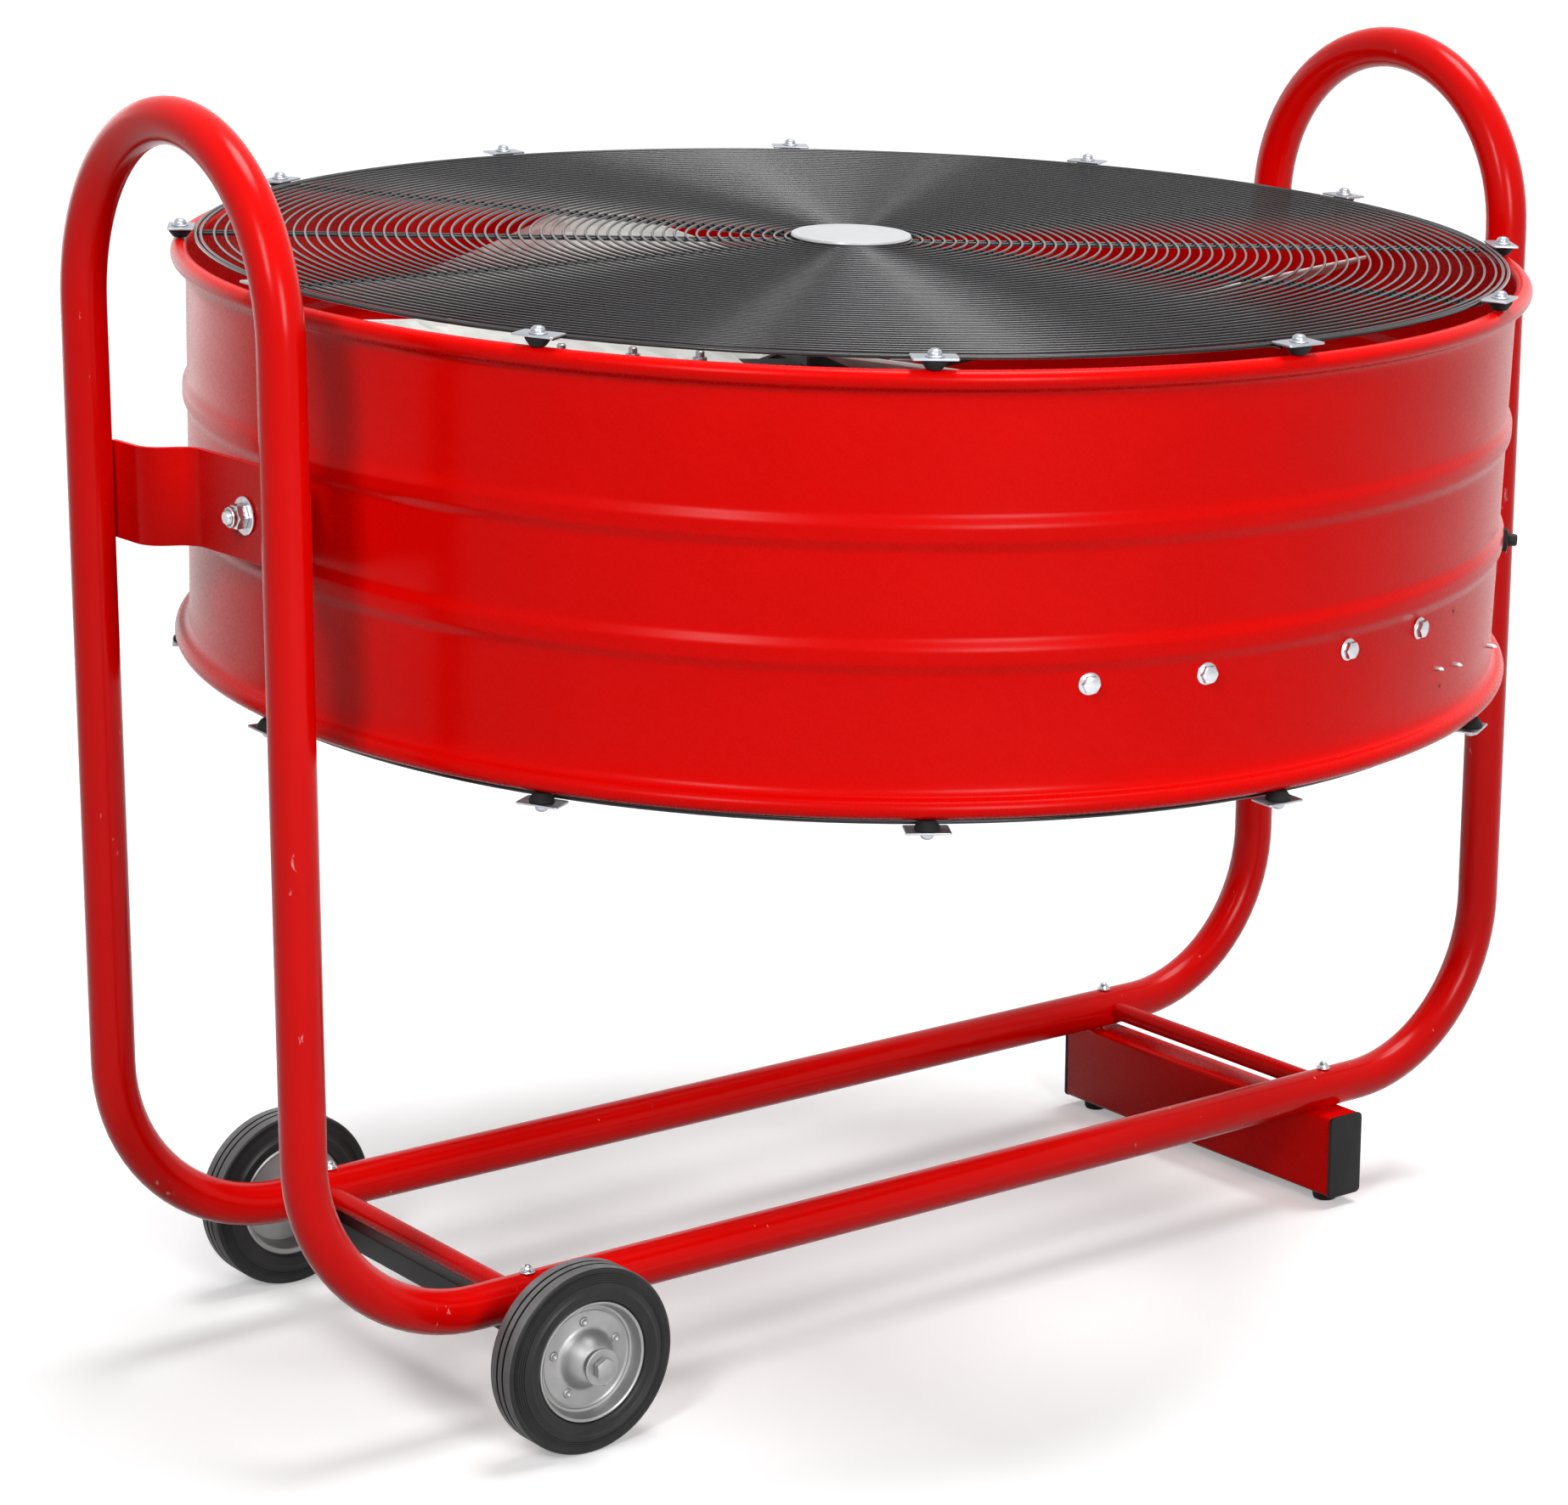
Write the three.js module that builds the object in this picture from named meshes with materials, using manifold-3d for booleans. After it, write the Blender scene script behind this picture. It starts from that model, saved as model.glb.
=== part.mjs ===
// Mobile drum fan: a ribbed sheet-steel drum with a wire guard on each face hangs on two pivots
// between the handle hoops of a tubular sled frame that rolls on two wheels.
// Millimetres, +Z up. The origin is on the floor under the middle of the drum, +X runs towards
// the foot beam, -X towards the wheels, and -Y is the side with the motor mount's bolts.
import * as THREE from "three";
import { mergeVertices } from "three/addons/utils/BufferGeometryUtils.js";
import Module from "manifold-3d";

// ---- driving dimensions -------------------------------------------------------------------
const GAP = 0.3; // clearance between touching pieces
const RAD = Math.PI / 180;

const TUBE_R = 19; // frame tube, 38 mm
const FRAME_X = 662; // centre line of the uprights
const FRAME_Y = 160; // centre line of the two side tubes
const RAIL_Z = 109.3; // centre line of the bottom rails
const BEND_R = 160; // bottom bends and hoops
const HOOP_Z = 919; // centre of the hoops
const JOINT_Z = 880; // where hoop and upright meet

const STRAP_T = 5;
const STRAP_H = 82;
const STRAP_X = 604.5; // middle of the strap's plateau
const STRAP_END = 157; // its flanges end on the tubes
const PIVOT_Z = 761;
const STRAP_UP = 3; // the strap's middle over the pivot

const CROSS_R = 9; // thin cross tubes
const AXLE_X = -452;
const AXLE_BAR = 20; // square bar under the rails
const WHEEL_R = 80;
const WHEEL_Y = 240; // middle plane of each wheel
const WHEEL_W = 38;
const RIM_R = 52;
const HUB_END = 23; // from the wheel's middle plane out to the end of its hub
const WASHER_T = 6;

const FOOT_X = 460;
const BEAM_W = 40;
const BEAM_H = 80;
const BEAM_WALL = 3;
const BEAM_Z = 10; // underside of the foot beam
const BEAM_Y = 195; // half length over the end caps
const CAP_T = 4;
const PLUG_SLACK = 2; // the caps' plugs inside the beam
const PAD_Y = 168; // rubber feet

const TILT = 2.5; // the drum leans a little towards -Y
const SHELL_R = 578;
const SHELL_T = 2;
const SHELL_SIDES = 48;
const SHELL_CLEAR_R = (SHELL_R - SHELL_T) * Math.cos(Math.PI / SHELL_SIDES) - GAP; // what fits inside
const BEAD_R = 8; // rolled wire edge
const BEAD_AT = 583;
const BEAD_Z = 166.5;
const RIB_Z = 48;
const RIB_HALF = 16;
const RIB_H = 4;

const GUARD_Z = 179; // underside of the guard's wires
const GUARD_T = 3.5;
const GUARD_R = 571.5;
const GUARD_CIRCLES = [569.5, 446, 323, 200, 77]; // wire circles, middle radius
const WIRE_W = 4;
const SPOKES = 12;
const CLIP_R = 581; // middle of the clips
const DISC_R = 53;

const STRUT_X = 125; // the two channels that carry the motor
const STRUT_Z = -72;
const MOUNT_TURN = -0.7 * RAD; // the mount sits a little off the pivot axis
const BOLT_DX = 50;
const BOLT_R = 4; // M8 bolts of rails, channels and feet
const MOTOR_R = 88;
const MOTOR_TOP = 44;
const SHAFT_R = 12;
const SHAFT_END = 104;

const BLADES = 4;
const BLADE_FROM = 118;
const BLADE_TO = 552; // tip radius
const BLADE_T = 2.5;
const BLADE_UP = [-101, -86]; // upper edge, across the blade's middle line, at root and tip
const BLADE_LOW = [60, 100];
const BLADE_Z = 63; // the blade's plane on the shaft, its rise outwards and its fall across
const BLADE_RISE = 0.085;
const BLADE_FALL = 0.305;
const BLADE_SAG = 7; // how hollow the sheet is
const HUB_R = 36;
const HUB_Z = [50, 92];
const ARM = [300, 44, 8]; // length, width, thickness
const ARM_Y = -18;

// ---- solids and booleans ------------------------------------------------------------------
const wasm = await Module();
wasm.setup();

function solid(geometry) {
  const g = geometry.clone();
  g.deleteAttribute("normal");
  g.deleteAttribute("uv");
  const m = mergeVertices(g, 1e-3);
  return new wasm.Manifold(
    new wasm.Mesh({
      numProp: 3,
      vertProperties: new Float32Array(m.attributes.position.array),
      triVerts: new Uint32Array(m.index.array),
    }),
  );
}

function geometryOf(manifold) {
  const mesh = manifold.getMesh();
  const g = new THREE.BufferGeometry();
  g.setAttribute("position", new THREE.BufferAttribute(mesh.vertProperties, mesh.numProp));
  g.setIndex(new THREE.BufferAttribute(mesh.triVerts, 1));
  return g;
}

const join = (...parts) => geometryOf(parts.map(solid).reduce((a, b) => a.add(b)));
const cut = (body, ...tools) =>
  geometryOf(tools.map(solid).reduce((a, b) => a.subtract(b), solid(body)));

// ---- basic shapes, all centred on +Z unless told otherwise ---------------------------------
const box = (x, y, z) => new THREE.BoxGeometry(x, y, z);
const bar = (r, length, sides = 16) =>
  new THREE.CylinderGeometry(r, r, length, sides).rotateX(Math.PI / 2);
const hex = (acrossFlats, height) => bar(acrossFlats / Math.sqrt(3), height, 6);

// A body of revolution about Z from a closed list of [radius, height].
function turned(profile, segments) {
  const pts = [...profile, profile[0]].map(([r, z]) => new THREE.Vector2(r, z));
  return new THREE.LatheGeometry(pts, segments).rotateX(Math.PI / 2);
}

// A flat outline of [x, y] with optional holes, drawn up along Z from z = 0.
function plate(outline, height, holes = []) {
  const shape = new THREE.Shape(outline.map(([x, y]) => new THREE.Vector2(x, y)));
  for (const hole of holes)
    shape.holes.push(new THREE.Path(hole.map(([x, y]) => new THREE.Vector2(x, y))));
  return new THREE.ExtrudeGeometry(shape, { depth: height, bevelEnabled: false });
}

const circle = (r, n) =>
  Array.from({ length: n }, (_, i) => {
    const a = (i * 2 * Math.PI) / n;
    return [r * Math.cos(a), r * Math.sin(a)];
  });

// A curve through fixed stations, so that a bent tube is divided only where it bends.
class StationCurve extends THREE.Curve {
  constructor(stations) {
    super();
    this.stations = stations.map((p) => new THREE.Vector3(...p));
  }
  getPoint(t) {
    const n = this.stations.length - 1;
    const i = Math.min(Math.floor(t * n + 1e-6), n - 1);
    return this.stations[i].clone().lerp(this.stations[i + 1], t * n - i);
  }
  getPointAt(u) {
    return this.getPoint(u);
  }
  getTangentAt(u) {
    const n = this.stations.length - 1;
    const i = Math.round(u * n);
    const before = this.stations[Math.max(i - 1, 0)];
    const after = this.stations[Math.min(i + 1, n)];
    if (i === 0 || i === n) return after.clone().sub(before).normalize();
    const a = this.stations[i].clone().sub(before).normalize();
    const b = after.clone().sub(this.stations[i]).normalize();
    return a.add(b).normalize();
  }
}

function bentTube(stations, r, sides) {
  const shape = new THREE.Shape(circle(r, sides).map(([x, y]) => new THREE.Vector2(x, y)));
  const extrudePath = new StationCurve(stations);
  const steps = stations.length - 1;
  return new THREE.ExtrudeGeometry(shape, { steps, extrudePath, bevelEnabled: false });
}

// Stations of an arc in the plane given by two unit directions.
function arc(centre, r, from, to, steps, place) {
  return Array.from({ length: steps + 1 }, (_, i) => {
    const a = (from + ((to - from) * i) / steps) * RAD;
    return place(centre[0] + r * Math.cos(a), centre[1] + r * Math.sin(a));
  });
}

// ---- the scene graph ------------------------------------------------------------------------
const paint = { color: 0xd31a14, roughness: 0.35, metalness: 0.0 };
const zinc = { color: 0xc8ccd0, roughness: 0.35, metalness: 0.9 };
const rubber = { color: 0x1c1c1d, roughness: 0.8, metalness: 0.0 };
const plastic = { color: 0x232425, roughness: 0.55, metalness: 0.0 };
const wire = { color: 0x2b2b2d, roughness: 0.45, metalness: 0.3 };
const galvanised = { color: 0xc9cac8, roughness: 0.4, metalness: 0.8 };
const castGrey = { color: 0x3a3d40, roughness: 0.6, metalness: 0.3 };

const fan = new THREE.Group();
const drum = new THREE.Group(); // leaning, its origin in the middle of the drum on the pivot axis
drum.position.z = PIVOT_Z;
drum.rotation.x = TILT * RAD;
const rotor = new THREE.Group();
drum.add(rotor);
fan.add(drum);

function piece(parent, name, geometry, look, at = [0, 0, 0]) {
  const mesh = new THREE.Mesh(geometry, new THREE.MeshStandardMaterial(look));
  mesh.name = name;
  mesh.position.set(...at);
  parent.add(mesh);
  return mesh;
}

// ---- frame ----------------------------------------------------------------------------------
// One side tube: upright, bottom bend, rail, bottom bend, upright, with two bolt holes.
function sideTube(y) {
  const place = (x, z) => [x, y, z];
  const left = [-(FRAME_X - BEND_R), RAIL_Z + BEND_R];
  const right = [FRAME_X - BEND_R, RAIL_Z + BEND_R];
  const stations = [
    [-FRAME_X, y, JOINT_Z],
    ...arc(left, BEND_R, 180, 270, 7, place),
    ...arc(right, BEND_R, 270, 360, 7, place),
    [FRAME_X, y, JOINT_Z],
  ];
  const holes = [AXLE_X, FOOT_X].map((x) => bar(BOLT_R + GAP, 60, 8).translate(x, y, RAIL_Z));
  return cut(bentTube(stations, TUBE_R, 12), ...holes);
}

function handleHoop(x) {
  const place = (y, z) => [x, y, z];
  const stations = [
    [x, FRAME_Y, JOINT_Z + GAP],
    ...arc([0, HOOP_Z], FRAME_Y, 0, 180, 12, place),
    [x, -FRAME_Y, JOINT_Z + GAP],
  ];
  return bentTube(stations, TUBE_R, 12);
}

// Hat-shaped strap welded between the uprights of one hoop, its plateau stepped towards the drum.
function strap(side) {
  const flange = FRAME_X - TUBE_R - GAP - STRAP_T / 2;
  const middle = [
    [flange, -STRAP_END], [flange, -108], [flange - 5, -102], [STRAP_X + 5, -90], [STRAP_X, -84],
    [STRAP_X, 84], [STRAP_X + 5, 90], [flange - 5, 102], [flange, 108], [flange, STRAP_END],
  ];
  const sideOf = (d) =>
    middle.map(([x, y], i) => {
      const [x0, y0] = middle[Math.max(i - 1, 0)];
      const [x1, y1] = middle[Math.min(i + 1, middle.length - 1)];
      const l = Math.hypot(x1 - x0, y1 - y0);
      return [side * (x + (d * (y1 - y0)) / l), y - (d * (x1 - x0)) / l];
    });
  const outline = [...sideOf(STRAP_T / 2), ...sideOf(-STRAP_T / 2).reverse()];
  if (side < 0) outline.reverse();
  const sheet = plate(outline, STRAP_H).translate(0, 0, PIVOT_Z + STRAP_UP - STRAP_H / 2);
  return cut(sheet, bar(6 + GAP, 20, 16).rotateY(Math.PI / 2).translate(side * STRAP_X, 0, PIVOT_Z));
}

// Domed nut on top of the rail, shank down through the rail and the wall under it, head below.
function railBolt(wall) {
  const top = RAIL_Z + TUBE_R + GAP;
  const bottom = RAIL_Z - TUBE_R - GAP - wall - GAP;
  const dome = [[0, 0], [6.5, 0], [6.5, 1.5], [5.2, 2], [4.6, 4.6], [2.6, 6.6], [0, 7.2]];
  const nut = turned(dome, 12).translate(0, 0, top);
  const shank = bar(BOLT_R, top - bottom + 2, 8).translate(0, 0, (top + bottom) / 2);
  return join(nut, shank, hex(13, 5).translate(0, 0, bottom - 2.5));
}

function axleBar() {
  const length = 2 * (WHEEL_Y - WHEEL_W / 2 - 4);
  const body = box(AXLE_BAR, length, AXLE_BAR);
  const holes = [-1, 1].flatMap((s) => [
    bar(BOLT_R + GAP, 40, 8).translate(0, s * FRAME_Y, 0),
    bar(5 + GAP, 50, 12).rotateX(Math.PI / 2).translate(0, (s * length) / 2, 0),
  ]);
  return cut(body, ...holes);
}

// Rectangular tube across the rails: open ends, closed by the caps.
function footBeam() {
  const length = 2 * (BEAM_Y - CAP_T - GAP);
  const x = BEAM_W / 2;
  const z = BEAM_H / 2;
  const ring = (dx, dz, c) => [
    [-dx + c, -dz], [dx - c, -dz], [dx, -dz + c], [dx, dz - c],
    [dx - c, dz], [-dx + c, dz], [-dx, dz - c], [-dx, -dz + c],
  ];
  const tube = plate(ring(x, z, 3), length, [ring(x - BEAM_WALL, z - BEAM_WALL, 1.5)])
    .translate(0, 0, -length / 2)
    .rotateX(Math.PI / 2);
  const holes = [-1, 1].flatMap((s) => [
    bar(BOLT_R + GAP, 20, 8).translate(0, s * FRAME_Y, z),
    bar(BOLT_R + GAP, 20, 8).translate(0, s * PAD_Y, -z),
  ]);
  return cut(tube, ...holes);
}

function footCap(side) {
  const face = box(BEAM_W, CAP_T, BEAM_H).translate(0, side * (BEAM_Y - CAP_T / 2), 0);
  const inside = 2 * BEAM_WALL + PLUG_SLACK;
  const plug = box(BEAM_W - inside, 9, BEAM_H - inside);
  return join(face, plug.translate(0, side * (BEAM_Y - CAP_T - 4), 0));
}

function buildFrame() {
  for (const [name, s] of [["front", -1], ["rear", 1]]) {
    piece(fan, `side_tube_${name}`, sideTube(s * FRAME_Y), paint);
    const boltAt = [
      ["left", AXLE_X, AXLE_BAR],
      ["right", FOOT_X, BEAM_WALL],
    ];
    for (const [end, x, h] of boltAt)
      piece(fan, `rail_bolt_${end}_${name}`, railBolt(h), zinc, [x, s * FRAME_Y, 0]);
    piece(fan, `foot_cap_${name}`, footCap(s), plastic, [FOOT_X, 0, BEAM_Z + BEAM_H / 2]);
    const padTop = BEAM_Z - GAP;
    const stem = [[4, padTop], [4, padTop + 6], [0, padTop + 6]];
    const pad = turned([[0, 0], [13, 0], [15, 2], [15, padTop], ...stem], 12);
    piece(fan, `foot_pad_${name}`, pad, rubber, [FOOT_X, s * PAD_Y, 0]);
  }
  for (const [name, s] of [["left", -1], ["right", 1]]) {
    piece(fan, `handle_hoop_${name}`, handleHoop(s * FRAME_X), paint);
    piece(fan, `strap_${name}`, strap(s), paint);
    const cross = bar(CROSS_R, 2 * (FRAME_Y - TUBE_R - GAP), 12).rotateX(Math.PI / 2);
    piece(fan, `crossbar_${name}`, cross, paint, [s < 0 ? AXLE_X - 8 : FOOT_X + 4, 0, RAIL_Z]);
  }
  piece(fan, "axle_bar", axleBar(), plastic, [AXLE_X, 0, WHEEL_R]);
  piece(fan, "foot_beam", footBeam(), paint, [FOOT_X, 0, BEAM_Z + BEAM_H / 2]);
}

// ---- wheels ---------------------------------------------------------------------------------
// Profiles run along the axle: positive heights point away from the frame.
function tyre() {
  const w = WHEEL_W / 2;
  const half = [[RIM_R, 15], [RIM_R + 2, w], [66, w], [76, 16], [WHEEL_R, 13]];
  const profile = [...half.map(([r, z]) => [r, -z]), ...half.toReversed()];
  return turned(profile, 30);
}

function wheelRim() {
  const edge = RIM_R - GAP;
  return turned(
    [
      [6, -17], [14, -17], [14, 2], [26, 2], [44, 2], [46, -14], [edge, -16],
      [edge, 16], [48, 15], [46, 6], [27, 6], [20, 17], [14, HUB_END], [6, HUB_END],
    ],
    22,
  );
}

function buildWheels() {
  for (const [name, s] of [["front", -1], ["rear", 1]]) {
    const wheel = new THREE.Group();
    wheel.position.set(AXLE_X, s * WHEEL_Y, WHEEL_R);
    wheel.rotation.x = (-s * Math.PI) / 2;
    fan.add(wheel);
    piece(wheel, `wheel_tyre_${name}`, tyre(), rubber);
    piece(wheel, `wheel_rim_${name}`, wheelRim(), zinc);
    const washer = turned([[5.3, 0], [9, 0], [9, 3], [14, 3], [14, WASHER_T], [5.3, WASHER_T]], 16);
    piece(wheel, `wheel_washer_${name}`, washer, zinc, [0, 0, HUB_END + GAP]);
    const head = HUB_END + WASHER_T + 2 * GAP;
    const shank = bar(5, head + 42, 12).translate(0, 0, (head - 40) / 2);
    const bolt = join(hex(17, 7).translate(0, 0, head + 3.5), shank);
    piece(wheel, `wheel_bolt_${name}`, bolt, zinc);
  }
}

// ---- drum -----------------------------------------------------------------------------------
// Half of the sheet's outer profile, from the middle up to the rolled edge.
function shellProfile() {
  const rib = (r) => [
    [r, RIB_Z - RIB_HALF], [r + RIB_H, RIB_Z - 6], [r + RIB_H, RIB_Z + 4], [r, RIB_Z + RIB_HALF],
  ];
  const bead = [-80, -20, 40, 100].map((a) => [
    BEAD_AT + BEAD_R * Math.cos(a * RAD),
    BEAD_Z + BEAD_R * Math.sin(a * RAD),
  ]);
  const outer = [...rib(SHELL_R), [SHELL_R, 138], [SHELL_R + 1.5, 152], ...bead];
  const bore = SHELL_R - SHELL_T;
  const inner = [[bore, BEAD_Z], [bore, 138], ...rib(bore).reverse()];
  const top = [...outer, ...inner];
  const mirrored = (list) => list.map(([r, z]) => [r, -z]).reverse();
  const lower = [...inner.map(([r, z]) => [r, -z]).reverse(), ...mirrored(outer)];
  return [...top, ...lower];
}

// Two mount bolts sit at each end of each channel.
function mountBolts() {
  const list = [];
  for (const y of [-1, 1])
    for (const x of [-STRUT_X - BOLT_DX, -STRUT_X + BOLT_DX, STRUT_X - BOLT_DX, STRUT_X + BOLT_DX])
      list.push(Math.atan2(y * Math.sqrt(SHELL_R ** 2 - x ** 2), x) + MOUNT_TURN);
  return list;
}

const alongRadius = (geometry, angle, r, z) =>
  geometry.rotateY(Math.PI / 2).translate(r, 0, 0).rotateZ(angle).translate(0, 0, z);

function drumShell() {
  const bolt = () => bar(BOLT_R + GAP, 20, 8);
  const holes = mountBolts().map((a) => alongRadius(bolt(), a, SHELL_R, STRUT_Z));
  const pivots = [0, Math.PI].map((a) => alongRadius(bar(6 + GAP, 20, 16), a, SHELL_R, 0));
  return cut(turned(shellProfile(), SHELL_SIDES), ...holes, ...pivots);
}

// Flat wire guard: circles and spokes in one layer, with the clips that hold it to the rolled edge.
function guard() {
  const holes = [];
  for (let k = 0; k + 1 < GUARD_CIRCLES.length; k++) {
    const outer = GUARD_CIRCLES[k] - WIRE_W / 2;
    const inner = GUARD_CIRCLES[k + 1] + WIRE_W / 2;
    for (let s = 0; s < SPOKES; s++) {
      const from = (s * 360) / SPOKES;
      const to = from + 360 / SPOKES;
      const edge = (r, steps) => {
        const da = Math.asin(WIRE_W / 2 / r) / RAD;
        return arc([0, 0], r, from + da, to - da, steps, (x, y) => [x, y]);
      };
      holes.push([...edge(outer, k < 2 ? 3 : 2), ...edge(inner, k < 2 ? 3 : 2).reverse()]);
    }
  }
  const net = plate(circle(GUARD_R, 36), GUARD_T, holes).translate(0, 0, GUARD_Z);
  const padTop = GUARD_Z + 1;
  const padFoot = BEAD_Z + BEAD_R + GAP;
  const clips = Array.from({ length: SPOKES }, (_, i) => {
    const parts = [
      box(26, 35, 2).translate(CLIP_R, 0, GUARD_Z + 1.5),
      hex(10, 5).translate(CLIP_R + 2, 0, GUARD_Z + 4.5),
      bar(7, padTop - padFoot, 6).translate(CLIP_R + 2, 0, (padTop + padFoot) / 2),
    ];
    return parts.map((p) => p.rotateZ((i * 2 * Math.PI) / SPOKES));
  });
  return join(net, ...clips.flat());
}

function buildDrum() {
  piece(drum, "drum_shell", drumShell(), paint);
  for (const [name, over, turn] of [["top", 0, -1.5], ["bottom", Math.PI, 0.7]]) {
    const side = new THREE.Group();
    side.rotation.x = over;
    drum.add(side);
    piece(side, `guard_${name}`, guard().rotateZ(turn * RAD), wire);
    const disc = turned([[0, 0], [DISC_R, 0], [DISC_R, 2], [DISC_R - 3, 4], [0, 5]], 24);
    piece(side, `guard_disc_${name}`, disc, castGrey, [0, 0, GUARD_Z + GUARD_T + GAP]);
  }
}

// Pivot on one side: bolt from inside the drum, spacer tube, strap, washer and nut.
function buildPivot(name, angle) {
  const inside = SHELL_CLEAR_R;
  const strapOut = STRAP_X + STRAP_T / 2 + GAP;
  const end = strapOut + 22;
  const shank = bar(6, end - inside + 4, 16).translate(0, 0, (end - inside - 4) / 2);
  const bolt = join(hex(19, 8).translate(0, 0, -4), shank);
  piece(drum, `pivot_bolt_${name}`, alongRadius(bolt, angle, inside, 0), zinc);
  const from = SHELL_R + GAP;
  const to = STRAP_X - STRAP_T / 2 - GAP;
  const spacer = turned([[6.3, 0], [14, 0], [14, to - from], [6.3, to - from]], 12);
  piece(drum, `pivot_spacer_${name}`, alongRadius(spacer, angle, from, 0), plastic);
  const washer = turned([[6.3, 0], [16, 0], [16, 2.5], [6.3, 2.5]], 12);
  piece(drum, `pivot_washer_${name}`, alongRadius(washer, angle, strapOut, 0), zinc);
  const nutAt = strapOut + 2.5 + GAP;
  const nut = cut(
    join(hex(19, 9).translate(0, 0, 4.5), bar(8, 13, 16).translate(0, 0, 6.5)),
    bar(6 + GAP, 40, 16).translate(0, 0, 6),
  );
  piece(drum, `pivot_nut_${name}`, alongRadius(nut, angle, nutAt, 0), zinc);
}

// ---- motor and its mount --------------------------------------------------------------------
// Channel from wall to wall, with a curved foot at each end bolted to the shell.
function motorStrut(side) {
  const x = side * STRUT_X;
  const wall = SHELL_CLEAR_R;
  const foot = (y) => {
    const middle = Math.atan2(y * Math.sqrt(wall ** 2 - STRUT_X ** 2), x) / RAD;
    const spread = 7.4;
    const place = (px, py) => [px, py];
    const outline = [
      ...arc([0, 0], wall, middle - spread, middle + spread, 5, place),
      ...arc([0, 0], wall - 3, middle + spread, middle - spread, 5, place),
    ];
    return plate(outline, 34).translate(0, 0, STRUT_Z - 17);
  };
  const section = [
    [-15, -12], [15, -12], [15, 12], [12, 12], [12, -9], [-12, -9], [-12, 12], [-15, 12],
  ];
  const beam = plate(section, 2 * wall).rotateX(Math.PI / 2).translate(x, wall, STRUT_Z);
  const bore = bar(wall - 1.5, 60, 60).translate(0, 0, STRUT_Z);
  const channel = geometryOf(solid(beam).intersect(solid(bore)));
  const holes = mountBolts()
    .filter((a) => Math.cos(a) * side > 0)
    .map((a) => a - MOUNT_TURN)
    .map((a) => alongRadius(bar(BOLT_R + GAP, 40, 8), a, wall, STRUT_Z));
  return cut(join(channel, foot(-1), foot(1)), ...holes).rotateZ(MOUNT_TURN);
}

function motorBody(from) {
  const fins = 16;
  const outline = [];
  for (let i = 0; i < fins; i++) {
    const a = (i * 360) / fins;
    for (const [r, d] of [[MOTOR_R - 8, -5], [MOTOR_R, -3], [MOTOR_R, 3], [MOTOR_R - 8, 5]])
      outline.push([r * Math.cos((a + d) * RAD), r * Math.sin((a + d) * RAD)]);
  }
  const bore = circle(SHAFT_R + GAP, 16).reverse();
  const housing = plate(outline, MOTOR_TOP - 22 - from - 8, [bore]).translate(0, 0, from + 8);
  const base = bar(MOTOR_R + 6, 9, 24).translate(0, 0, from + 4.5);
  const bearing = turned(
    [
      [SHAFT_R + GAP, MOTOR_TOP - 24], [MOTOR_R - 6, MOTOR_TOP - 24], [MOTOR_R - 6, MOTOR_TOP - 16],
      [40, MOTOR_TOP - 6], [26, MOTOR_TOP], [SHAFT_R + GAP, MOTOR_TOP],
    ],
    16,
  );
  return join(housing, base, bearing);
}

function buildMotor() {
  piece(drum, "motor_strut_left", motorStrut(-1), paint);
  piece(drum, "motor_strut_right", motorStrut(1), paint);
  const plateZ = STRUT_Z + 12 + GAP;
  piece(drum, "motor_plate", box(2 * STRUT_X + 40, 220, 5), paint, [0, 0, plateZ + 2.5]);
  const foot = plateZ + 5 + GAP;
  piece(drum, "motor_body", motorBody(foot), castGrey);
  piece(drum, "motor_terminal_box", box(46, 70, 60), plastic, [MOTOR_R + 6 + 24, 0, foot + 30]);
  mountBolts().forEach((a, i) => {
    const bolt = join(
      bar(8.3, 2, 10).translate(0, 0, 1),
      hex(13, 6).translate(0, 0, 3),
      bar(BOLT_R, 16, 6).translate(0, 0, -6),
    );
    piece(drum, `mount_bolt_${i + 1}`, alongRadius(bolt, a, SHELL_R + GAP, STRUT_Z), zinc);
  });
  const gland = join(bar(11, 7, 6).translate(0, 0, 3.5), bar(8, 14, 12).translate(0, 0, 7));
  piece(drum, "cable_gland", alongRadius(gland, -46 * RAD, SHELL_R + RIB_H + 1, -50), plastic);
}

// ---- fan rotor ------------------------------------------------------------------------------
const bladeHeight = (u, v) => BLADE_Z + BLADE_RISE * u - BLADE_FALL * v;

// Sheet blade along +X: its tip follows the drum, it is pitched, rises outwards and is a little
// hollow. Its -Y edge is the upper one.
function blade() {
  const g = new THREE.BoxGeometry(1, 1, 1, 5, 6, 1);
  const p = g.attributes.position;
  const between = ([root, tip], s) => root + (tip - root) * s;
  for (let i = 0; i < p.count; i++) {
    const s = p.getX(i) + 0.5;
    const across = p.getY(i) + 0.5;
    const v = between([between(BLADE_UP, s), between(BLADE_LOW, s)], across);
    const u = between([BLADE_FROM, Math.sqrt(BLADE_TO ** 2 - v * v)], s);
    const sag = 4 * BLADE_SAG * across * (1 - across);
    p.setXYZ(i, u, v, bladeHeight(u, v) - sag + (p.getZ(i) + 0.5) * BLADE_T);
  }
  return g;
}

// Flat arm under the middle of a blade, in the blade's plane.
function hubArm() {
  const [length, width, thickness] = ARM;
  const g = box(length, width, thickness).translate(HUB_R - 6 + length / 2, ARM_Y, 0);
  const p = g.attributes.position;
  const under = BLADE_SAG + GAP + thickness / 2;
  for (let i = 0; i < p.count; i++)
    p.setZ(i, p.getZ(i) + bladeHeight(p.getX(i), p.getY(i)) - under);
  return g;
}

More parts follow.
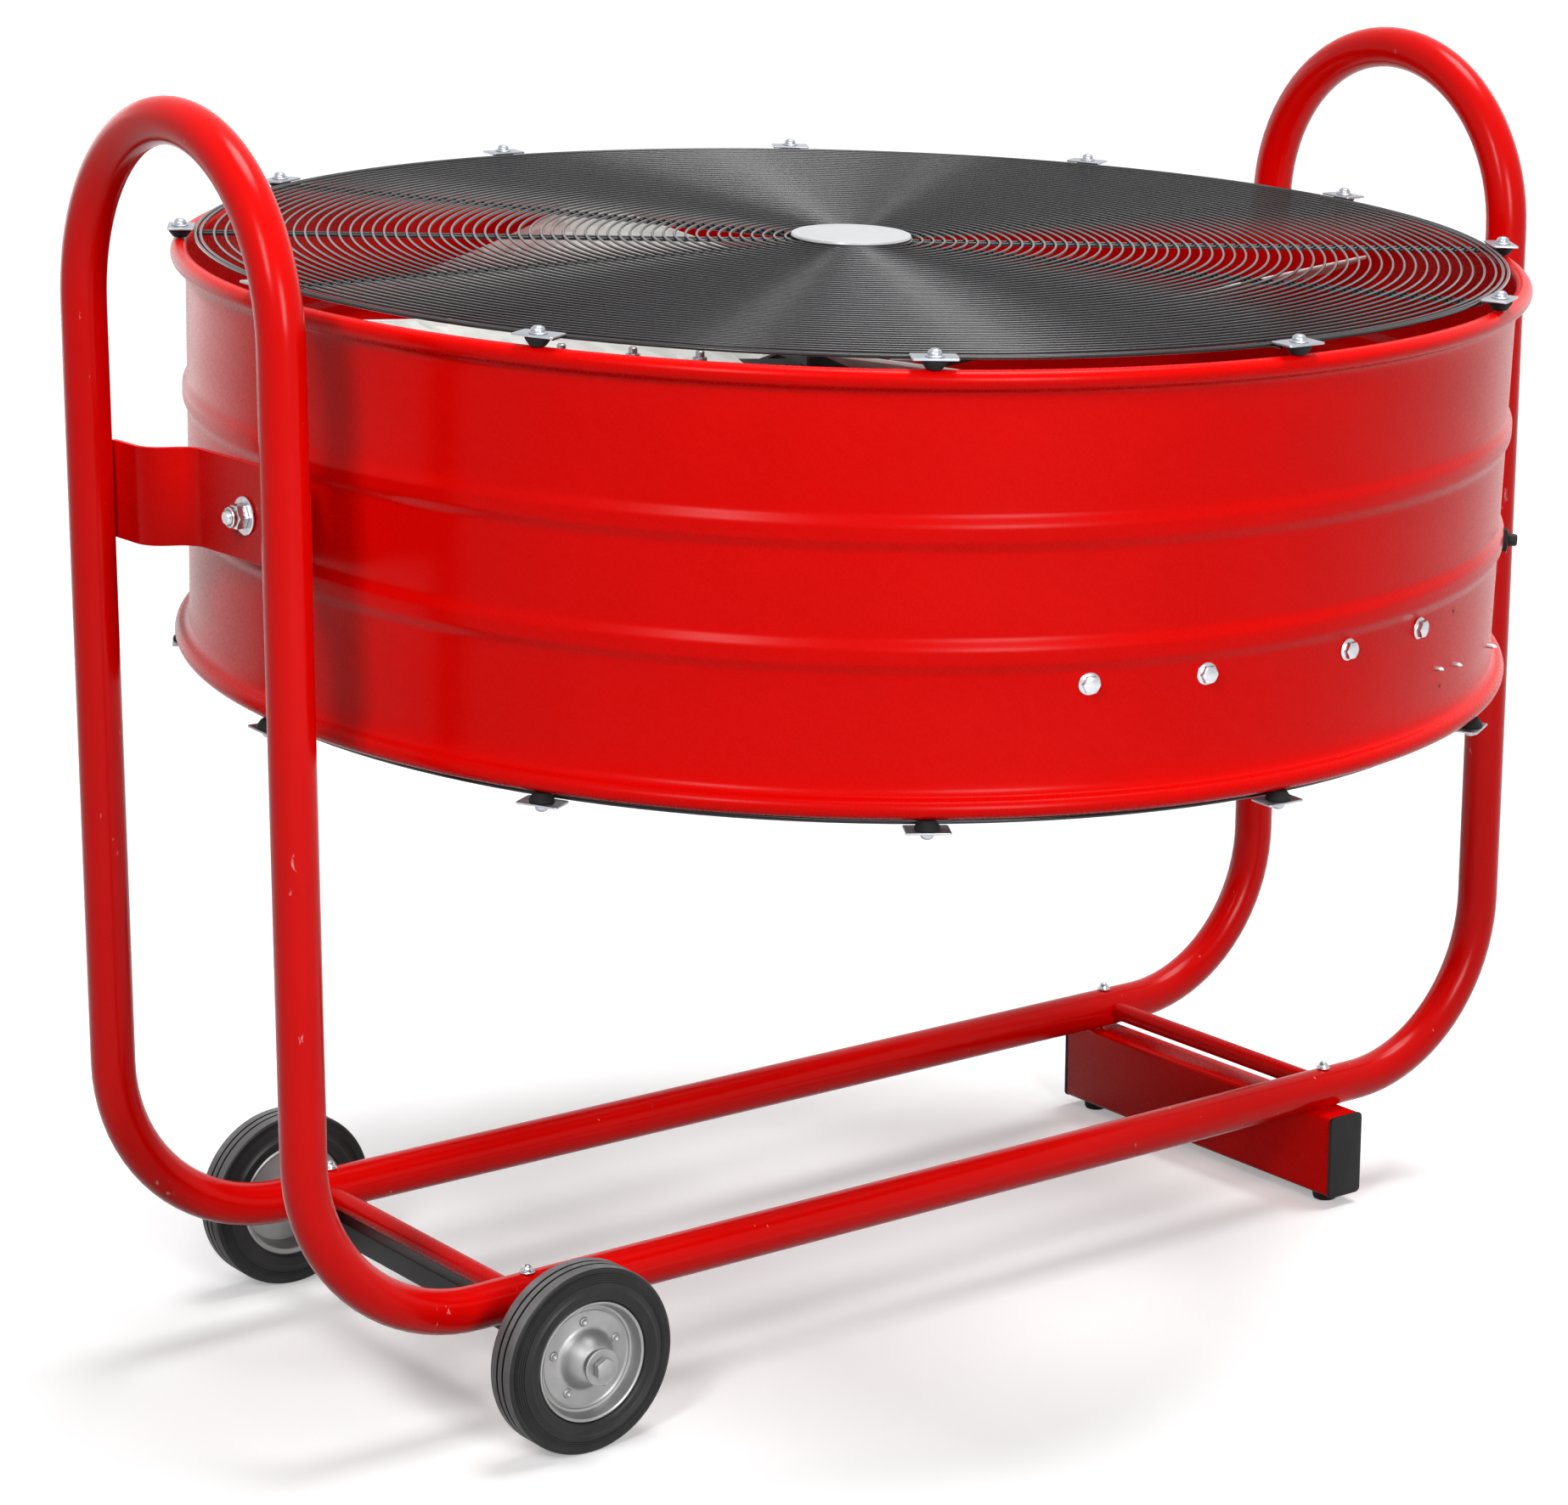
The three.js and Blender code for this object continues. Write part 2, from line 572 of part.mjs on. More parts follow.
function buildRotor() {
  const shaftFrom = MOTOR_TOP - 60;
  const shaft = bar(SHAFT_R, SHAFT_END - shaftFrom, 16);
  piece(rotor, "motor_shaft", shaft.translate(0, 0, (SHAFT_END + shaftFrom) / 2), zinc);
  const [low, high] = HUB_Z;
  const bore = SHAFT_R + GAP;
  const chamfer = [[HUB_R, high - 6], [HUB_R - 6, high]];
  const boss = turned([[bore, low], [HUB_R, low], ...chamfer, [bore, high]], 24);
  const turns = Array.from({ length: BLADES }, (_, i) => (i * 2 * Math.PI) / BLADES);
  piece(rotor, "fan_hub", join(boss, ...turns.map((a) => hubArm().rotateZ(a))), castGrey);
  turns.forEach((a, i) => piece(rotor, `fan_blade_${i + 1}`, blade().rotateZ(a), galvanised));
}

buildFrame();
buildWheels();
buildDrum();
buildPivot("left", Math.PI);
buildPivot("right", 0);
buildMotor();
buildRotor();

export default fan;
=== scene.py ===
# Mobile drum fan: a ribbed drum of painted sheet steel hangs on two pivots in a bent-tube sled
# with two wheels and a foot beam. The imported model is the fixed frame, and this script dresses it.
from math import atan2, cos, degrees, pi, radians, sin, sqrt, tan

import bmesh
import bpy
from mathutils import Matrix, Vector


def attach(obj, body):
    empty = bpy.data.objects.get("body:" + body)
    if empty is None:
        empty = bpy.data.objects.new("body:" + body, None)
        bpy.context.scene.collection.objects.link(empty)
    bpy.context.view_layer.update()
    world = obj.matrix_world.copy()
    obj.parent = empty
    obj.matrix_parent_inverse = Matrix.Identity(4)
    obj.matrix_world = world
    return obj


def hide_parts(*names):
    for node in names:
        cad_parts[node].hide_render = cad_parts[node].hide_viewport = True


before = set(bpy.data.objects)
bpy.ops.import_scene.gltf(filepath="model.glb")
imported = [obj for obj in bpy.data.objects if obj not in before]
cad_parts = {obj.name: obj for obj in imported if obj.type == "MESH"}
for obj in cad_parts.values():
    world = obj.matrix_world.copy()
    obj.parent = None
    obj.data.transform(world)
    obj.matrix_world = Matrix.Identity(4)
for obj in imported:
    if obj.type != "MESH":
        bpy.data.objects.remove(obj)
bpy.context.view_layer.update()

scene = bpy.context.scene


# ---- The photographer's place --------------------------
# A long lens under four metres from the drum and a little above its guard, looking down 14
# degrees. Nothing is out of focus.
CAMERA_AT = Vector((-2.22819, -2.89364, 1.37621))
YAW, PITCH, ROLL = radians(36.76), radians(13.85), radians(0.10)
SENSOR, FOCAL = 36, 95.41

look_along = Vector((sin(YAW) * cos(PITCH), cos(YAW) * cos(PITCH), -sin(PITCH)))
level_right = Vector((cos(YAW), -sin(YAW), 0))
level_up = level_right.cross(look_along)
camera_right = cos(ROLL) * level_right + sin(ROLL) * level_up
camera_up = cos(ROLL) * level_up - sin(ROLL) * level_right

lens = bpy.data.cameras.new("studio_camera")
lens.sensor_fit, lens.sensor_width, lens.lens = "HORIZONTAL", SENSOR, FOCAL
lens.clip_start, lens.clip_end = 0.1, 200
camera = bpy.data.objects.new("studio_camera", lens)
scene.collection.objects.link(camera)
turn = Matrix((camera_right, camera_up, -look_along)).transposed()
camera.matrix_world = Matrix.Translation(CAMERA_AT) @ turn.to_4x4()
scene.camera = camera


# ---- Studio floor and light ----------------------------
# White paper under one wide overhead light, with a soft box in front, one high on the left, and
# two panels behind that glance off the drum's flanks. What the camera, glass or a glossy surface
# sees of the paper is lifted a little, so that it ends in white, and it throws less light back.
FLOOR_HALF, FLOOR_Z = 40, -0.0004
PAPER, PAPER_BOUNCE, PAPER_LIFT = "F4F4F4", "545454", 0.3
ROOM_LIGHT = 0.12
MIDDLE = (0, 0, 0.8)


def linear(hex_colour):
    """An sRGB hex colour as the linear RGBA that the nodes take."""
    channels = [int(hex_colour[i:i + 2], 16) / 255 for i in (0, 2, 4)]
    return [c / 12.92 if c <= 0.04045 else ((c + 0.055) / 1.055) ** 2.4 for c in channels] + [1]


def add(tree, kind, inputs=None, **settings):
    """Adds a node with its settings, and sets or links its inputs."""
    made = tree.nodes.new(kind)
    for key, value in settings.items():
        setattr(made, key, value)
    for key, value in (inputs or {}).items():
        if isinstance(value, bpy.types.NodeSocket):
            tree.links.new(value, made.inputs[key])
        else:
            made.inputs[key].default_value = value
    return made


def blank_material(name):
    """A new material with an empty node tree."""
    material = bpy.data.materials.new(name)
    material.use_nodes = True
    material.node_tree.nodes.clear()
    return material, material.node_tree


def seen_directly(tree):
    """1 for what the camera, a glossy surface or glass sees, and 0 for light that falls on."""
    rays = add(tree, "ShaderNodeLightPath").outputs
    direct = rays["Is Camera Ray"]
    for ray in ("Is Glossy Ray", "Is Transmission Ray"):
        either = add(tree, "ShaderNodeMath", {0: direct, 1: rays[ray]}, operation="MAXIMUM")
        direct = either.outputs[0]
    return direct


paper, tree = blank_material("white_paper")
direct = seen_directly(tree)
lift = add(tree, "ShaderNodeMath", {0: direct, 1: PAPER_LIFT}, operation="MULTIPLY")
shade = add(tree, "ShaderNodeMix", {
    "Factor": direct, 6: linear(PAPER_BOUNCE), 7: linear(PAPER)}, data_type="RGBA")
dull = add(tree, "ShaderNodeBsdfDiffuse", {"Color": shade.outputs[2]})
glow = add(tree, "ShaderNodeEmission", {"Color": (1, 1, 1, 1), "Strength": lift.outputs[0]})
both = add(tree, "ShaderNodeAddShader", {0: dull.outputs[0], 1: glow.outputs[0]})
add(tree, "ShaderNodeOutputMaterial", {"Surface": both.outputs[0]})

floor_mesh = bpy.data.meshes.new("floor")
corners = [(x * FLOOR_HALF, y * FLOOR_HALF, FLOOR_Z)
           for x, y in ((-1, -1), (1, -1), (1, 1), (-1, 1))]
floor_mesh.from_pydata(corners, [], [(0, 1, 2, 3)])
floor_mesh.materials.append(paper)
floor = bpy.data.objects.new("floor", floor_mesh)
scene.collection.objects.link(floor)

world = bpy.data.worlds.new("studio")
world.use_nodes = True
tree = world.node_tree
tree.nodes.clear()
strength = add(tree, "ShaderNodeMapRange", {
    "Value": seen_directly(tree), "To Min": ROOM_LIGHT, "To Max": 1.0})
white = add(tree, "ShaderNodeBackground", {"Color": (1, 1, 1, 1), "Strength": strength.outputs[0]})
add(tree, "ShaderNodeOutputWorld", {"Surface": white.outputs[0]})
scene.world = world
scene.view_settings.view_transform = "Standard"


def soft_box(name, at, aim, width, height, power):
    """A rectangular lamp at a point, turned to face another."""
    lamp = bpy.data.lights.new(name, "AREA")
    lamp.shape, lamp.size, lamp.size_y, lamp.energy = "RECTANGLE", width, height, power
    box = bpy.data.objects.new(name, lamp)
    scene.collection.objects.link(box)
    box.location = at
    box.rotation_mode = "QUATERNION"
    box.rotation_quaternion = (Vector(aim) - Vector(at)).to_track_quat("-Z", "Y")


overhead = bpy.data.lights.new("overhead_light", "SUN")
overhead.energy, overhead.angle = 2.5, radians(26)
ceiling = bpy.data.objects.new("overhead_light", overhead)
ceiling.rotation_euler = (radians(1), radians(13), 0)
scene.collection.objects.link(ceiling)
soft_box("front_box", (-0.9, -4.2, 1.9), MIDDLE, 1.0, 1.5, 84)
soft_box("left_box", (-2.9, -1.9, 2.7), (-0.4, 0, 0.8), 0.6, 1.2, 50)
soft_box("back_left_panel", (-0.6, 5.0, 1.2), MIDDLE, 3.0, 2.2, 24)
soft_box("back_right_panel", (4.85, 1.2, 1.2), MIDDLE, 2.0, 2.2, 9)


# ---- Bent frame tubes: two side tubes and two handle hoops --
# 38 mm steel tube, bent cold round a 160 mm former, welded and powder coated red. The coat is a
# smooth half gloss with a faint orange peel, rubbed pale in small spots where it gets handled.
MM = 0.001
TUBE_R, BEND_R = 19, 160
FRAME_X, FRAME_Y, RAIL_Z = 662, 160, 109.3
JOINT_Z, HOOP_TOP = 880, 1079
SEAM = 0.3
RED, RED_DEEP, SCUFF = "EC0603", "E20502", "E9A79F"
TUBE_SHINE, TUBE_ROUGH, SHEET_SHINE, SHEET_ROUGH = 0.12, 0.21, 0.08, 0.27


def mottled(tree, scale, detail, first, second):
    """The piece's own coordinates, clouds of noise on them, and two colours mixed by the clouds."""
    place = add(tree, "ShaderNodeTexCoord").outputs["Object"]
    cloud = add(tree, "ShaderNodeTexNoise", {"Vector": place, "Scale": scale, "Detail": detail})
    colour = add(tree, "ShaderNodeMix", {
        "Factor": cloud.outputs["Fac"], 6: linear(first), 7: linear(second)}, data_type="RGBA")
    return place, cloud.outputs["Fac"], colour.outputs[2]


def grained(tree, place, scale, strength, height):
    """A grain, coarser than the real one so that it shows: a factor, and a relief in metres."""
    grain = add(tree, "ShaderNodeTexNoise", {"Vector": place, "Scale": scale, "Detail": 2})
    relief = add(tree, "ShaderNodeBump", {
        "Height": grain.outputs["Fac"], "Strength": strength, "Distance": height})
    return grain.outputs["Fac"], relief.outputs[0]


def red_powder_coat(name, scuffs, shine, rough):
    """Red polyester powder coat: 2 mm orange peel, slight clouding, pale scuffs where asked."""
    material, tree = blank_material(name)
    place, _, colour = mottled(tree, 14, 3, RED, RED_DEEP)
    grain, peel = grained(tree, place, 480, 0.5, 0.00005)
    uneven = add(tree, "ShaderNodeMapRange", {
        "Value": grain, "To Min": rough - 0.05, "To Max": rough + 0.06})
    if scuffs:
        stretched = add(tree, "ShaderNodeMapping", {"Vector": place, "Scale": (60, 60, 22)})
        rub = add(tree, "ShaderNodeTexNoise", {
            "Vector": stretched.outputs[0], "Scale": 1, "Detail": 6, "Roughness": 0.65})
        worn = add(tree, "ShaderNodeMapRange", {
            "Value": rub.outputs["Fac"], "From Min": 0.68, "From Max": 0.71})
        colour = add(tree, "ShaderNodeMix", {
            "Factor": worn.outputs[0], 6: colour, 7: linear(SCUFF)}, data_type="RGBA").outputs[2]
    paint = add(tree, "ShaderNodeBsdfPrincipled", {
        "Base Color": colour, "Roughness": uneven.outputs[0], "IOR": 1.5,
        "Specular IOR Level": shine, "Normal": peel})
    add(tree, "ShaderNodeOutputMaterial", {"Surface": paint.outputs[0]})
    return material


def new_tree(name, sockets):
    """A geometry tree with named inputs, given as name: (socket type, default)."""
    tree = bpy.data.node_groups.new(name, "GeometryNodeTree")
    tree.interface.new_socket("Geometry", in_out="OUTPUT", socket_type="NodeSocketGeometry")
    tree.interface.new_socket("Geometry", in_out="INPUT", socket_type="NodeSocketGeometry")
    for label, (kind, default) in sockets.items():
        socket = tree.interface.new_socket(label, in_out="INPUT", socket_type="NodeSocket" + kind)
        if default is not None:
            socket.default_value = default
    return tree, add(tree, "NodeGroupInput").outputs


def close_tree(tree, geometry, finish):
    """Ends a tree: its instances are made real and get their finish."""
    real = add(tree, "GeometryNodeRealizeInstances", {"Geometry": geometry})
    dressed = add(tree, "GeometryNodeSetMaterial", {
        "Geometry": real.outputs[0], "Material": finish})
    add(tree, "NodeGroupOutput", {0: dressed.outputs[0]})
    return tree


def grown(tree, points=(), edges=(), **inputs):
    """Runs a geometry tree on a few points and edges, and returns the result as a plain mesh."""
    seed = bpy.data.meshes.new(tree.name)
    seed.from_pydata([Vector(p) * MM for p in points], edges, [])
    holder = bpy.data.objects.new(tree.name, seed)
    scene.collection.objects.link(holder)
    modifier = holder.modifiers.new("grow", "NODES")
    modifier.node_group = tree
    for item in tree.interface.items_tree:
        label = item.name.replace(" ", "_").lower()
        if item.in_out == "INPUT" and label in inputs:
            modifier[item.identifier] = inputs[label]
    bpy.context.view_layer.update()
    evaluated = holder.evaluated_get(bpy.context.evaluated_depsgraph_get())
    mesh = bpy.data.meshes.new_from_object(evaluated)
    bpy.data.objects.remove(holder)
    return mesh


def fitted(name, mesh, body, material=None, stands_for=(), sharp=32):
    """Makes a finished mesh, in metres, a piece of the fan."""
    if material:
        mesh.materials.clear()
        mesh.materials.append(material)
    mesh.shade_smooth()
    mesh.set_sharp_from_angle(angle=radians(sharp))
    made = bpy.data.objects.new(name, mesh)
    scene.collection.objects.link(made)
    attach(made, body)
    if stands_for:
        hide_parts(*([stands_for] if isinstance(stands_for, str) else stands_for))


tree, start = new_tree("bent_tube", {
    "Tube Radius": ("Float", 0.019), "Bend Radius": ("Float", 0.16), "Bend Steps": ("Int", 20),
    "Sides": ("Int", 48), "Finish": ("Material", None)})
line = add(tree, "GeometryNodeMeshToCurve", {"Mesh": start["Geometry"]})
bends = add(tree, "GeometryNodeFilletCurve", {
    "Curve": line.outputs[0], "Count": start["Bend Steps"], "Radius": start["Bend Radius"]},
    mode="POLY")
ring = add(tree, "GeometryNodeCurvePrimitiveCircle", {
    "Resolution": start["Sides"], "Radius": start["Tube Radius"]})
skin = add(tree, "GeometryNodeCurveToMesh", {
    "Curve": bends.outputs[0], "Profile Curve": ring.outputs[0], "Fill Caps": True})
bent_tube = close_tree(tree, skin.outputs[0], start["Finish"])

tube_red = red_powder_coat("red_powder_coat_on_tube", True, TUBE_SHINE, TUBE_ROUGH)


def tube_through(corners):
    """Frame tube through the corners of its centre line, each corner bent to the former."""
    edges = [(i, i + 1) for i in range(len(corners) - 1)]
    return grown(bent_tube, corners, edges, tube_radius=TUBE_R * MM, bend_radius=BEND_R * MM,
                 bend_steps=20, sides=48, finish=tube_red)


for name, y in (("front", -FRAME_Y), ("rear", FRAME_Y)):
    corners = [(-FRAME_X, y, JOINT_Z), (-FRAME_X, y, RAIL_Z), (FRAME_X, y, RAIL_Z),
               (FRAME_X, y, JOINT_Z)]
    fitted(f"bent_side_tube_{name}", tube_through(corners), "frame",
           stands_for=f"side_tube_{name}")
for name, x in (("left", -FRAME_X), ("right", FRAME_X)):
    corners = [(x, FRAME_Y, JOINT_Z), (x, FRAME_Y, HOOP_TOP), (x, -FRAME_Y, HOOP_TOP),
               (x, -FRAME_Y, JOINT_Z)]
    fitted(f"bent_hoop_{name}", tube_through(corners), "frame",
           stands_for=f"handle_hoop_{name}")


# ---- Straps between the uprights -----------------------
# 82 x 5 mm flat steel pressed to a hat shape, its flanges welded to the tubes, powder coated red.
# The cut edges stay a little rounded under the coat and catch the light.
STRAP_T, STRAP_H, STRAP_X, PIVOT_Z, STRAP_UP = 5, 82, 604.5, 761, 3
STRAP_FLANGE_X = FRAME_X - TUBE_R - SEAM - STRAP_T / 2
STRAP_END, STRAP_STEP, STRAP_HALF, STRAP_BEND = 157, 105, 87, 24


def rounded(points, radius, steps=6):
    """An open outline of [x, y] with each inner corner turned into an arc."""
    path = [Vector(points[0])]
    for before, corner, after in zip(points, points[1:], points[2:]):
        corner = Vector(corner)
        a, b = (Vector(before) - corner).normalized(), (Vector(after) - corner).normalized()
        half = a.angle(b) / 2
        reach = radius / tan(half)
        centre = corner + (a + b).normalized() * radius / sin(half)
        first, last = corner + a * reach - centre, corner + b * reach - centre
        begin, sweep = atan2(first.y, first.x), atan2(first.cross(last), first.dot(last))
        for i in range(steps + 1):
            turn = begin + sweep * i / steps
            path.append(centre + radius * Vector((cos(turn), sin(turn))))
    return path + [Vector(points[-1])]


def round_rect(x, y, radius, steps=5):
    """Outline of a rectangle with rounded corners, anticlockwise."""
    points = []
    for cx, cy, a0 in ((1, -1, -90), (1, 1, 0), (-1, 1, 90), (-1, -1, 180)):
        for i in range(steps + 1):
            a = radians(a0 + 90 * i / steps)
            points.append((cx * (x / 2 - radius) + radius * cos(a),
                           cy * (y / 2 - radius) + radius * sin(a)))
    return points


def skinned(outlines, closed=False):
    """Equal outlines in a row, or in a circle when closed, skinned to a closed body in bmesh."""
    bm = bmesh.new()
    rings = [[bm.verts.new(point) for point in outline] for outline in outlines]
    for here, there in zip(rings, rings[1:] + rings[:1] if closed else rings[1:]):
        for j in range(len(here)):
            k = (j + 1) % len(here)
            bm.faces.new((here[j], there[j], there[k], here[k]))
    if closed:
        bmesh.ops.remove_doubles(bm, verts=bm.verts, dist=1e-4)
    else:
        bm.faces.new(rings[0])
        bm.faces.new(rings[-1][::-1])
    bmesh.ops.recalc_face_normals(bm, faces=bm.faces)
    return bm


def swept(path, section):
    """A section of (across, up) points carried along a flat open path, closed at both ends."""
    outlines = []
    for i, p in enumerate(path):
        along = (path[min(i + 1, len(path) - 1)] - path[max(i - 1, 0)]).normalized()
        across = Vector((-along.y, along.x))
        outlines.append([(*(p + across * d), z) for d, z in section])
    return skinned(outlines)


def placed(bm, matrix=None):
    """A bmesh in millimetres as a mesh in metres, moved to its place on the fan."""
    mesh = bpy.data.meshes.new("piece")
    bm.to_mesh(mesh)
    bm.free()
    mesh.transform(Matrix.Scale(MM, 4) @ (matrix or Matrix()))
    return mesh


sheet_red = red_powder_coat("red_powder_coat_on_sheet", False, SHEET_SHINE, SHEET_ROUGH)
for name, side in (("left", -1), ("right", 1)):
    corners = [(STRAP_FLANGE_X, -STRAP_END), (STRAP_FLANGE_X, -STRAP_STEP), (STRAP_X, -STRAP_HALF),
               (STRAP_X, STRAP_HALF), (STRAP_FLANGE_X, STRAP_STEP), (STRAP_FLANGE_X, STRAP_END)]
    bm = swept(rounded([(side * x, y) for x, y in corners], STRAP_BEND),
               round_rect(STRAP_T, STRAP_H, 1.1, 4))
    height = Matrix.Translation((0, 0, PIVOT_Z + STRAP_UP))
    fitted(f"pressed_strap_{name}", placed(bm, height), "frame", sheet_red,
           f"strap_{name}")


# ---- Cross tubes between the rails ---------------------
# 18 mm tube, one near either end, welded between the rails to hold them apart. Powder coated red
# together with the frame.
CROSS_R, CROSS_LEFT, CROSS_RIGHT = 9, -460, 464
CROSS_HALF = FRAME_Y - TUBE_R - SEAM


def turned(profile, segments=48):
    """A body of revolution about Z from a closed list of (radius, height), as a bmesh."""
    turns = [2 * pi * i / segments for i in range(segments)]
    return skinned([[(r * cos(a), r * sin(a), z) for r, z in profile] for a in turns], closed=True)


def round_bar(radius, low, high):
    """Profile of a plain round bar."""
    return [(0, low), (radius, low), (radius, high), (0, high)]


ALONG_Y = Matrix.Rotation(-pi / 2, 4, "X")
for name, x in (("left", CROSS_LEFT), ("right", CROSS_RIGHT)):
    tube = turned(round_bar(CROSS_R, -CROSS_HALF, CROSS_HALF), 36)
    where = Matrix.Translation((x, 0, RAIL_Z)) @ ALONG_Y
    fitted(f"cross_tube_{name}", placed(tube, where), "frame", sheet_red,
           f"crossbar_{name}")


# ---- Axle bar ------------------------------------------
# 20 mm square steel bar, bolted under the rails, that carries both wheels. Powder coated a matt
# black that shows some dust.
AXLE_X, AXLE_BAR, AXLE_HALF, WHEEL_R = -452, 20, 217, 80
BLACK, BLACK_DUST = "151516", "2B2B2C"


def dusted(tree, patches, ramp, dark, dusty):
    """The piece's own coordinates, and a dark colour under dust in patches of a few centimetres."""
    place = add(tree, "ShaderNodeTexCoord").outputs["Object"]
    patch = add(tree, "ShaderNodeTexNoise", {"Vector": place, **patches})
    share = add(tree, "ShaderNodeMapRange", {"Value": patch.outputs["Fac"], **ramp})
    colour = add(tree, "ShaderNodeMix", {
        "Factor": share.outputs[0], 6: linear(dark), 7: linear(dusty)}, data_type="RGBA")
    return place, colour.outputs[2]


def dull_black(name, scale, rough, bump, dust=0.35):
    """Dusty black with a grain of the given scale."""
    material, tree = blank_material(name)
    ramp = {"From Min": 0.4, "From Max": 0.75, "To Max": dust}
    place, colour = dusted(tree, {"Scale": 35, "Detail": 4}, ramp, BLACK, BLACK_DUST)
    grain, relief = grained(tree, place, scale, 0.6, bump)
    uneven = add(tree, "ShaderNodeMapRange", {
        "Value": grain, "To Min": rough - 0.08, "To Max": rough + 0.08})
    skin = add(tree, "ShaderNodeBsdfPrincipled", {
        "Base Color": colour, "Roughness": uneven.outputs[0], "IOR": 1.5,
        "Specular IOR Level": 0.25, "Normal": relief})
    add(tree, "ShaderNodeOutputMaterial", {"Surface": skin.outputs[0]})
    return material


def prism(outline, low, high, soften=0.0, steps=2):
    """A flat outline drawn up along Z, with its sharp edges rounded off, as a bmesh."""
    bm = skinned([[(x, y, z) for x, y in outline] for z in (low, high)])
    if soften:
        bmesh.ops.remove_doubles(bm, verts=bm.verts, dist=1e-4)
        sharp = [e for e in bm.edges if e.calc_face_angle() > radians(40)]
        bmesh.ops.bevel(bm, geom=sharp, offset=soften, segments=steps, profile=0.5, affect="EDGES",
                        clamp_overlap=True)
    return bm


def block(x, y, z, soften, steps=2):
    """A box of these sides round the origin, its edges rounded off."""
    outline = [(-x / 2, -y / 2), (x / 2, -y / 2), (x / 2, y / 2), (-x / 2, y / 2)]
    return prism(outline, -z / 2, z / 2, soften, steps)


bar_black = dull_black("black_powder_coat", 500, 0.45, 0.00005)
under_rails = Matrix.Translation((AXLE_X, 0, WHEEL_R))
bar = placed(block(AXLE_BAR, 2 * AXLE_HALF, AXLE_BAR, 1.2), under_rails)
fitted("square_axle_bar", bar, "frame", bar_black, "axle_bar")


# ---- Foot beam, its end caps and rubber feet -----------
# 80 x 40 mm rectangular tube with rounded corners, powder coated red, bolted under the rails.
# Moulded plastic caps with a dull, spark-eroded texture close the ends. The feet are matt rubber.
FOOT_X, BEAM_W, BEAM_H, BEAM_Z, BEAM_Y, CAP_T = 460, 40, 80, 10, 195, 4
FOOT_Y = 168
FOOT = [(0, 0), (9.4, 0), (10.6, 0.6), (11.6, 3), (11.9, 6), (11.4, 9), (10, 9.7), (0, 9.7)]

beam_centre = Matrix.Translation((FOOT_X, 0, BEAM_Z + BEAM_H / 2)) @ ALONG_Y
half_beam = BEAM_Y - CAP_T - SEAM
beam = prism(round_rect(BEAM_W, BEAM_H, 5), -half_beam, half_beam, soften=0.5)
fitted("foot_beam_tube", placed(beam, beam_centre), "frame", sheet_red, "foot_beam")
cap_plastic = dull_black("spark_textured_plastic", 900, 0.55, 0.00012)
foot_rubber = dull_black("foot_rubber", 700, 0.75, 0.00008)
for name, side in (("front", -1), ("rear", 1)):
    low, high = sorted((side * (BEAM_Y - CAP_T), side * BEAM_Y))
    cap = prism(round_rect(BEAM_W + 0.6, BEAM_H + 0.6, 5), low, high, soften=1.2, steps=3)
    fitted(f"end_cap_{name}", placed(cap, beam_centre), "frame", cap_plastic,
           f"foot_cap_{name}")
    under_beam = Matrix.Translation((FOOT_X, side * FOOT_Y, 0))
    fitted(f"rubber_foot_{name}", placed(turned(FOOT, 32), under_beam), "frame",
           foot_rubber, f"foot_pad_{name}")


# ---- Bolts through the rails ---------------------------
# M8 bolts up through the bar or the beam, closed on top of the rail by low domed nuts with a
# flange, all bright zinc plated: a pale metal, mirror-like in places and clouded in between.
ZINC, ZINC_CLOUD = "D2D4D7", "A6A9AD"
BEAM_WALL = 3
HEX_M8, HEX_M10, HEX_M12 = 13, 17, 19
DOME = [(0, 7.3), (1.4, 7.1), (2.7, 6.6), (3.8, 5.6), (4.6, 4.2), (5, 2.8), (5.2, 2), (6.3, 1.6),
        (6.6, 1), (6.4, 0.4), (0, 0.4)]


def bright_zinc(name, rough=0.26, scale=220, pale=ZINC, cloudy=ZINC_CLOUD, metallic=1.0):
    """Bright zinc plating: clouds of a few millimetres in colour and gloss."""
    material, tree = blank_material(name)
    _, cloud, colour = mottled(tree, scale, 4, pale, cloudy)
    uneven = add(tree, "ShaderNodeMapRange", {
        "Value": cloud, "To Min": rough - 0.1, "To Max": rough + 0.12})
    relief = add(tree, "ShaderNodeBump", {"Height": cloud, "Strength": 0.3, "Distance": 0.00004})
    metal = add(tree, "ShaderNodeBsdfPrincipled", {
        "Base Color": colour, "Metallic": metallic, "Roughness": uneven.outputs[0],
        "Normal": relief.outputs[0]})
    add(tree, "ShaderNodeOutputMaterial", {"Surface": metal.outputs[0]})
    return material


def hexagon(flats, low, high, bore=0.0, samples=48):
    """A hexagon head or nut from low to high, its top corners turned off at 30 degrees."""
    crown = flats / 2 * 0.95
    outlines = []
    for i in range(samples):
        a = 2 * pi * i / samples
        reach = flats / 2 / cos((a + pi / 6) % (pi / 3) - pi / 6)
        edge = high - (reach - crown) * tan(radians(30))
        profile = [(bore, high), (crown, high), (reach, edge), (reach, low), (bore, low)]
        outlines.append([(r * cos(a), r * sin(a), z) for r, z in profile])
    return skinned(outlines, closed=True)


def together(*parts):
    """Several bmeshes, each with a matrix or None, as one mesh in metres."""
    whole = bmesh.new()
    for bm, matrix in parts:
        part = bpy.data.meshes.new("part")
        bm.to_mesh(part)
        bm.free()
        part.transform(matrix or Matrix())
        whole.from_mesh(part)
    return placed(whole)


